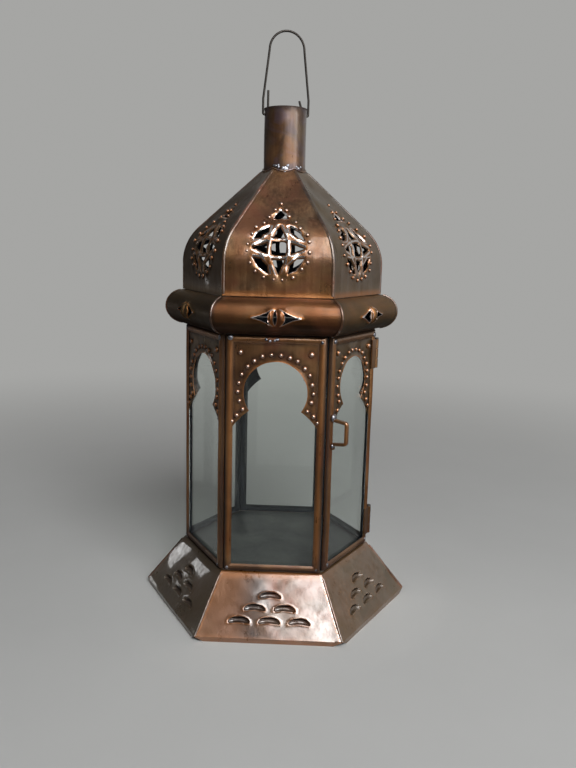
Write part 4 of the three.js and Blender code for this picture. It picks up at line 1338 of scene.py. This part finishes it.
def grown(name, tree, seeds, values):
    """A plain mesh object from a tree grown on a seed mesh."""
    source = in_scene(name + "_seed", seeds)
    modifier = source.modifiers.new("grow", "NODES")
    modifier.node_group = tree
    for item in tree.interface.items_tree:
        if item.in_out == "INPUT" and item.name in values:
            modifier[item.identifier] = values[item.name]
    graph = bpy.context.evaluated_depsgraph_get()
    mesh = bpy.data.meshes.new_from_object(source.evaluated_get(graph), depsgraph=graph)
    mesh.name = name
    source.modifiers.clear()
    bpy.data.objects.remove(source)
    return in_scene(name, mesh)


def domed(name, rows, finish, height, lumps, scale, seed):
    """Domes on rows of a place, an outward direction and a size."""
    places, outs, sizes = zip(*rows)
    mesh = new_mesh("dome_seeds", places)
    mark(mesh, "out", outs, "FLOAT_VECTOR", "vector")
    mark(mesh, "size", sizes)
    values = {"Height": height, "Lumps": lumps, "Lump Scale": scale, "Seed": seed,
              "Material": finish}
    return grown(name, domes, mesh, values)


domes = dome_tree()
print("dome tree ready")

# %% Beads on arches and medallions
chance = np.random.default_rng(5)
seeds = {"lantern": [], "door": []}
for side, body in enumerate(BODIES):
    bead_places, bead_sizes = arch_beads(door_arch if side == DOOR else wall_arch)
    spots = bead_places + chance.normal(0, 0.22 * MM, bead_places.shape)
    points = stacked(spots[:, 0], -plate.face, spots[:, 1])
    outs = np.tile(FORWARD, (len(spots), 1))
    sizes = bead_sizes * chance.uniform(0.85, 1.1, len(spots))
    seeds[body] += zip(turned(points, side), turned(outs, side), sizes)
    spots = border + chance.normal(0, 0.5 * MM, border.shape)
    points, outs = dome_bend.place(spots)
    sizes = BORDER_BEAD * chance.uniform(0.75, 1.2, len(spots))
    seeds["lantern"] += zip(turned(points, side), turned(outs, side), sizes)
for body, rows in seeds.items():
    piece = domed(
        f"beads_{body}", rows, copper, height=0.85, lumps=0.25 * MM, scale=900.0, seed=2.0)
    settle(piece, body, "copper_sheet")
print("beads:", sum(len(rows) for rows in seeds.values()))

# %% [markdown]
# ## Soldered seams
# The petals, rolls and trays meet on six hips, closed with a thin run of solder that has
# browned with the copper. A second tree sweeps a round section along bare edges and
# roughens it, so that one tree gives the seams, the run round the neck and, with no
# roughness at all, the wire of the bail. The bright spots of solder are flat domes.

# %% A tree that sweeps a rod along edges
ROD_SIDES = 16


def rod_tree():
    """A round rod along each given line of edges."""
    tree, given = nodes_tree("rod_along_edges", "Radius", "Step")
    line = given.node("GeometryNodeMeshToCurve", {"Mesh": given})
    inputs = {"Curve": line, "Length": given.beside("Step")}
    line = given.node("GeometryNodeResampleCurve", inputs, mode="LENGTH")
    inputs = {"Resolution": ROD_SIDES, "Radius": given.beside("Radius")}
    section = given.node("GeometryNodeCurvePrimitiveCircle", inputs, "Curve")
    inputs = {"Curve": line, "Profile Curve": section, "Fill Caps": True}
    close_tree(given, given.node("GeometryNodeCurveToMesh", inputs))
    return tree


def swept(name, lines, finish, radius, lumps, scale, step=0.8 * MM):
    """Rods along some lines of points."""
    points, edges = [], []
    for line in lines:
        start = len(points)
        points += list(line)
        edges += [(start + k, start + k + 1) for k in range(len(line) - 1)]
    values = {"Radius": radius, "Step": step, "Lumps": lumps, "Lump Scale": scale, "Seed": 4.0,
              "Material": finish}
    return grown(name, rods, new_mesh("edge_seeds", points, edges), values)


def hip(bend, start, end, side, inset):
    """The line where a bent side meets the next one, sunk a little into the corner."""
    along = np.arange(start, end, 1.5 * MM)
    points, outs = bend.place(stacked(0.0, along))
    points[:, 0] = -points[:, 1] * MITRE
    shift = stacked(outs[:, 1] * -MITRE, outs[:, 1], outs[:, 2])
    return turned(points - shift * inset, side)


rods = rod_tree()
ridges = [hip(dome_bend, 1 * MM, corner_along - 1 * MM, side, 1.0 * MM)
          for side in range(len(SIDES))]
piece = swept("dome_seams", ridges, seam_copper, radius=1.3 * MM, lumps=0.3 * MM, scale=260.0)
settle(piece, "lantern", "copper_sheet")
hips = []
for side in range(len(SIDES)):
    hips.append(hip(roll_bend, 5 * MM, roll_end - 5 * MM, side, 0.3 * MM))
    hips.append(hip(skirt_bend, RIM_HEIGHT + 0.5 * MM, ledge_start - 1 * MM, side, 0.1 * MM))
piece = swept("hip_seams", hips, seam_copper, radius=0.75 * MM, lumps=0.5 * MM, scale=380.0)
settle(piece, "lantern", "copper_sheet")
print(f"{len(ridges) + len(hips)} hip seams")

# %% Solder round the neck and in the corners
SPOT_IN, SPOT_UP = 2.4 * MM, 2.2 * MM  # from the corner of a frame
COLLAR_LIFT, COLLAR_OUT = 0.2 * MM, 0.1 * MM

neck_foot = dome_bend.height[-1] - (neck.half - peak_reach) * math.tan(DOME_SLOPE)
collar_turn = np.linspace(0, math.tau, 90)
collar_dip = (1 / np.cos((collar_turn + TURN / 2) % TURN - TURN / 2) - 1) * neck.half
collar_reach = neck.half + COLLAR_OUT
collar = stacked(
    collar_reach * np.sin(collar_turn), -collar_reach * np.cos(collar_turn),
    neck_foot + COLLAR_LIFT + collar_dip * 0.9)
piece = swept("neck_seam", [collar], neck_copper, radius=0.45 * MM, lumps=0.6 * MM, scale=260.0)
settle(piece, "lantern", "copper_sheet")

spots = {"lantern": [], "door": []}
chance = np.random.default_rng(9)
for side, body in enumerate(BODIES):
    shape = door if side == DOOR else wall
    for x in (shape.left + SPOT_IN, shape.right - SPOT_IN):
        for z, size in ((shape.foot + SPOT_UP, 0.7 * MM), (shape.top - SPOT_UP, 1.0 * MM)):
            shift = chance.normal(0, 0.5 * MM, 2)
            place = turned([x + shift[0], -shape.face - 0.5 * MM, z + shift[1]], side)
            spots[body].append((place, turned(FORWARD, side), chance.uniform(0.9, 1.7) * size))
for _ in range(18):
    angle = math.radians(8) + chance.normal(0, 0.34)
    out = np.array([math.sin(angle), -math.cos(angle), 0.25])
    level = neck_foot + chance.uniform(-0.5, 4.0) * MM
    place = out * (1, 1, 0) * neck.half + (0, 0, level)
    spots["lantern"].append((place, out, chance.uniform(0.5, 1.3) * MM))
for _ in range(6):
    x, drop = chance.uniform(-6.0, 3.0) * MM, chance.uniform(2.0, 3.2) * MM
    place, out = np.array([x, -wall.face - 0.75 * MM, wall.top - drop]), np.array([0.0, -1.0, 0.2])
    spots["lantern"].append((place, out, chance.uniform(0.6, 1.2) * MM))
for body, rows in spots.items():
    piece = domed(
        f"solder_spots_{body}", rows, solder, height=0.35, lumps=1.1 * MM, scale=600.0, seed=6.0)
    settle(piece, body, "copper_sheet")
print("solder spots:", sum(len(rows) for rows in spots.values()))

# %% [markdown]
# ## Hinges
# The door turns on two small three-knuckle hinges on its right-hand edge. Each leaf is a
# flat plate with one or two rolled knuckles, and a headed pin runs through them. Turned
# parts are easiest as a lathe: an outline swung round an axis.

# %% Hinges
PIN_RADIUS, BORE, BARREL = 0.8 * MM, 1.0 * MM, 1.5 * MM
HINGE_HEIGHT, HINGE_LEAF, KNUCKLE_GAP = 18.0 * MM, 6.5 * MM, 0.3 * MM
LATHE_STEPS = 28
EASE, KNUCKLE_EASE = 0.12 * MM, 0.15 * MM
LEAF_FACE = -0.3 * MM
AXIS = 0.02 * MM  # the least radius a lathe turns
PIN_EASE, HEAD_SEAT, HEAD_EDGE, HEAD_TOP = 0.2 * MM, 0.15 * MM, 0.65 * MM, 0.8 * MM


def lathe(outline):
    """Points and faces of a closed outline of radius and height swung round the axis."""
    swing = np.linspace(0, math.tau, LATHE_STEPS, endpoint=False)
    points = [(r * math.sin(a), -r * math.cos(a), z) for a in swing for r, z in outline]
    return points, [(a, d, c, b) for a, b, c, d in ring_faces(LATHE_STEPS, len(outline))]


def block(low, high):
    """Points and faces of a box with eased ends."""
    points = []
    levels = (low[2], low[2] + EASE, high[2] - EASE, high[2])
    for level, inset in zip(levels, (EASE, 0, 0, EASE)):
        left, near, right, far = low[0] + inset, low[1] + inset, high[0] - inset, high[1] - inset
        corners = ((left, near), (right, near), (right, far), (left, far))
        points += [(*corner, level) for corner in corners]
    return points, ring_faces(4, 4)[:-4] + [(3, 2, 1, 0), (12, 13, 14, 15)]


def joined(parts):
    """Several sets of points and faces as one."""
    points, faces = [], []
    for some_points, some_faces in parts:
        faces += [tuple(i + len(points) for i in face) for face in some_faces]
        points += list(some_points)
    return np.array(points), faces


def hinge_leaf(direction, knuckles):
    """Points and faces of a leaf with its knuckles, about the axis of the hinge."""
    inner, half, third = BARREL + KNUCKLE_GAP, HINGE_HEIGHT / 2, HINGE_HEIGHT / 3

    def strip(start, end, low, high):
        """A flat length of the leaf, between two distances from the axis."""
        left, right = sorted((direction * start, direction * end))
        return block((left, LEAF_FACE - SHEET, low), (right, LEAF_FACE, high))

    parts = [strip(inner, HINGE_LEAF, -half, half)]
    for knuckle in knuckles:
        level, tall = (knuckle - 1) * third, third - KNUCKLE_GAP
        low, high = level - tall / 2, level + tall / 2
        parts.append(lathe([
            (BORE, low), (BARREL - KNUCKLE_EASE, low), (BARREL, low + KNUCKLE_EASE),
            (BARREL, high - KNUCKLE_EASE), (BARREL - KNUCKLE_EASE, high), (BORE, high)]))
        parts.append(strip(BORE * 1.1, inner + SHEET, low, high))
    return joined(parts)


corner_reach = wall.face * MITRE
for place_name in ("lower", "upper"):
    low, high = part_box(f"{place_name}_hinge_door_leaf")
    level = (low.z + high.z) / 2
    for leaf, direction, side, knuckles in (
            ("door", -1, DOOR, [1]), ("wall", 1, HINGE_SIDE, [0, 2])):
        points, faces = hinge_leaf(direction, knuckles)
        points = turned(points + (-direction * corner_reach, -wall.face, level), side)
        piece = new_piece(f"{place_name}_{leaf}_leaf", points, faces, [frame_copper],
                          rub=[-0.3] * len(points))
        settle(piece, BODIES[side], "copper_sheet", f"{place_name}_hinge_{leaf}_leaf")
    half, head = HINGE_HEIGHT / 2, HINGE_HEIGHT / 2 + HEAD_SEAT
    outline = [(AXIS, -half), (PIN_RADIUS * 0.8, -half), (PIN_RADIUS, -half + PIN_EASE),
               (PIN_RADIUS, head), (BARREL * 0.85, head), (BARREL, head + PIN_EASE),
               (BARREL * 0.85, head + HEAD_EDGE), (AXIS, head + HEAD_TOP)]
    points, faces = lathe(outline)
    points = turned(np.array(points) + (corner_reach, -wall.face, level), DOOR)
    piece = new_piece(f"{place_name}_pin", points, faces, [dull_steel])
    settle(piece, "lantern", "steel_wire", f"{place_name}_hinge_pin")
print("two hinges with leaves and pins")

# %% [markdown]
# ## The door pull
# A strip of copper bent into a flat loop and soldered to the door's opening edge by two
# feet. The strip is a section with eased corners carried along a bent line.

# %% Door pull
PULL_REACH, PULL_STRIP, PULL_WIDTH = 10.5 * MM, 1.8 * MM, 2.4 * MM
PULL_HALF, PULL_TAPER, PULL_FOOT = 7.6 * MM, 0.7 * MM, 2.5 * MM
PULL_BEND = 1.3 * MM

pull = measured("door_pull", DOOR)
pull_level = (pull.foot + pull.top) / 2
seat = 0.3 * MM + PULL_STRIP / 2
reach = PULL_REACH - PULL_STRIP / 2
grip = PULL_HALF - PULL_TAPER - PULL_STRIP / 2
strip = rounded(
    [(seat, -PULL_HALF - PULL_FOOT), (seat, -PULL_HALF + 0.5 * MM), (reach, -grip), (reach, grip),
     (seat, PULL_HALF - 0.5 * MM), (seat, PULL_HALF + PULL_FOOT)],
    [PULL_BEND * 0.6, PULL_BEND, PULL_BEND, PULL_BEND * 0.6], steps=6)
ahead = np.gradient(strip, axis=0)
sideways = stacked(ahead[:, 1], -ahead[:, 0]) / np.linalg.norm(ahead, axis=1)[:, None]
w, t, ease = PULL_WIDTH / 2, PULL_STRIP / 2, 0.3 * MM
section = [(-w, -t + ease), (-w + ease, -t), (w - ease, -t), (w, -t + ease),
           (w, t - ease), (w - ease, t), (-w + ease, t), (-w, t - ease)]
stile = door.left + CHANNEL_WIDTH / 2
points = [
    (stile + x, -(wall.face + out + n * side_out), pull_level + up + n * side_up)
    for (out, up), (side_out, side_up) in zip(strip, sideways) for x, n in section
]
count, total = len(section), len(strip)
faces = [(d, c, b, a) for a, b, c, d in ring_faces(total, count)[:-count]]
faces += [tuple(range(count)), tuple(reversed(range((total - 1) * count, total * count)))]
# The bend of the grip is worn; the arms are painted darker as shade.
rub = np.repeat(np.where(strip[:, 0] > reach - PULL_BEND / 2, 0.25, -0.3), count)
piece = new_piece("pull", turned(points, DOOR), faces, [frame_copper], rub=rub)
settle(piece, "door", "copper_sheet", "door_pull")
feet = [(stile, -wall.face - 1.2 * MM, pull_level + k * (PULL_HALF + 0.6 * MM)) for k in (-1, 1)]
outs = [FORWARD] * len(feet)
rows = zip(turned(feet, DOOR), turned(outs, DOOR), (1.9 * MM, 2.5 * MM))
piece = domed("pull_solder", rows, solder, height=0.55, lumps=0.9 * MM, scale=600.0, seed=8.0)
settle(piece, "door", "copper_sheet")
print("pull bent and soldered")

# %% [markdown]
# ## The bail
# One length of wire, hooked through the neck's two holes from outside, up two legs and over
# a round crown. The rod tree sweeps it with a smooth section. The line is drawn flat and
# turned with the joint's own axis, so the wire stays in its holes as it swings.

# %% Bail
BAIL_RISE, BAIL_SHOULDER_RISE, BAIL_SHOULDER_HALF = 46.5 * MM, 36.0 * MM, 10.2 * MM
HOOK_BEND, HOOK_LEFT, HOOK_RIGHT, HOOK_LEAN = 0.9 * MM, 13.5 * MM, 8.5 * MM, 2.6 * MM
LEG_START = 9 * MM

leg = neck.half + BAIL_PLAY + BAIL_WIRE
hook = leg - SHEET - 2 * (BAIL_PLAY + HOOK_BEND)
swing = np.linspace(math.pi, 0, 25)
crown = stacked(BAIL_SHOULDER_HALF * np.cos(swing),
                BAIL_SHOULDER_RISE + (BAIL_RISE - BAIL_SHOULDER_RISE) * np.sin(swing))
left_hook = rounded(
    [(-hook, HOOK_LEFT), (-hook, 0), (-leg, 0), (-leg, LEG_START)], [HOOK_BEND] * 2, 6)
right_hook = rounded(
    [(leg, LEG_START), (leg, 0), (hook, 0), (hook - HOOK_LEAN, HOOK_RIGHT)], [HOOK_BEND] * 2, 6)
drawn_wire = np.concatenate([left_hook, crown, right_hook])
axis = np.array([math.cos(bail_yaw), math.sin(bail_yaw), 0])
line = [axis * x + (0, 0, bail_level + z) for x, z in drawn_wire]
piece = swept("bail_wire", [line], dull_steel, BAIL_WIRE, lumps=0.0, scale=400.0, step=0.6 * MM)
settle(piece, "bail", "steel_wire", "bail")
print(f"bail crown at {(bail_level + BAIL_RISE + BAIL_WIRE) / MM:.1f} mm")

# %% [markdown]
# ## Panes and floor
# The glass panes and the floor plate are flat, and the solids are already right, so the
# frame's own nodes stay and only get a better finish.

# %% Finishes on the frame's own nodes
for name, node in frame["nodes"].items():
    finish = window_glass if "glass_pane" in name else floor_scale
    if "glass_pane" in name or name == "floor_plate":
        node.data.materials.clear()
        node.data.materials.append(finish)
print("six panes and one floor finished")

# %% Sizes and finish
low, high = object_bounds()
print("visual size, mm:", [round(v / MM, 1) for v in high - low])
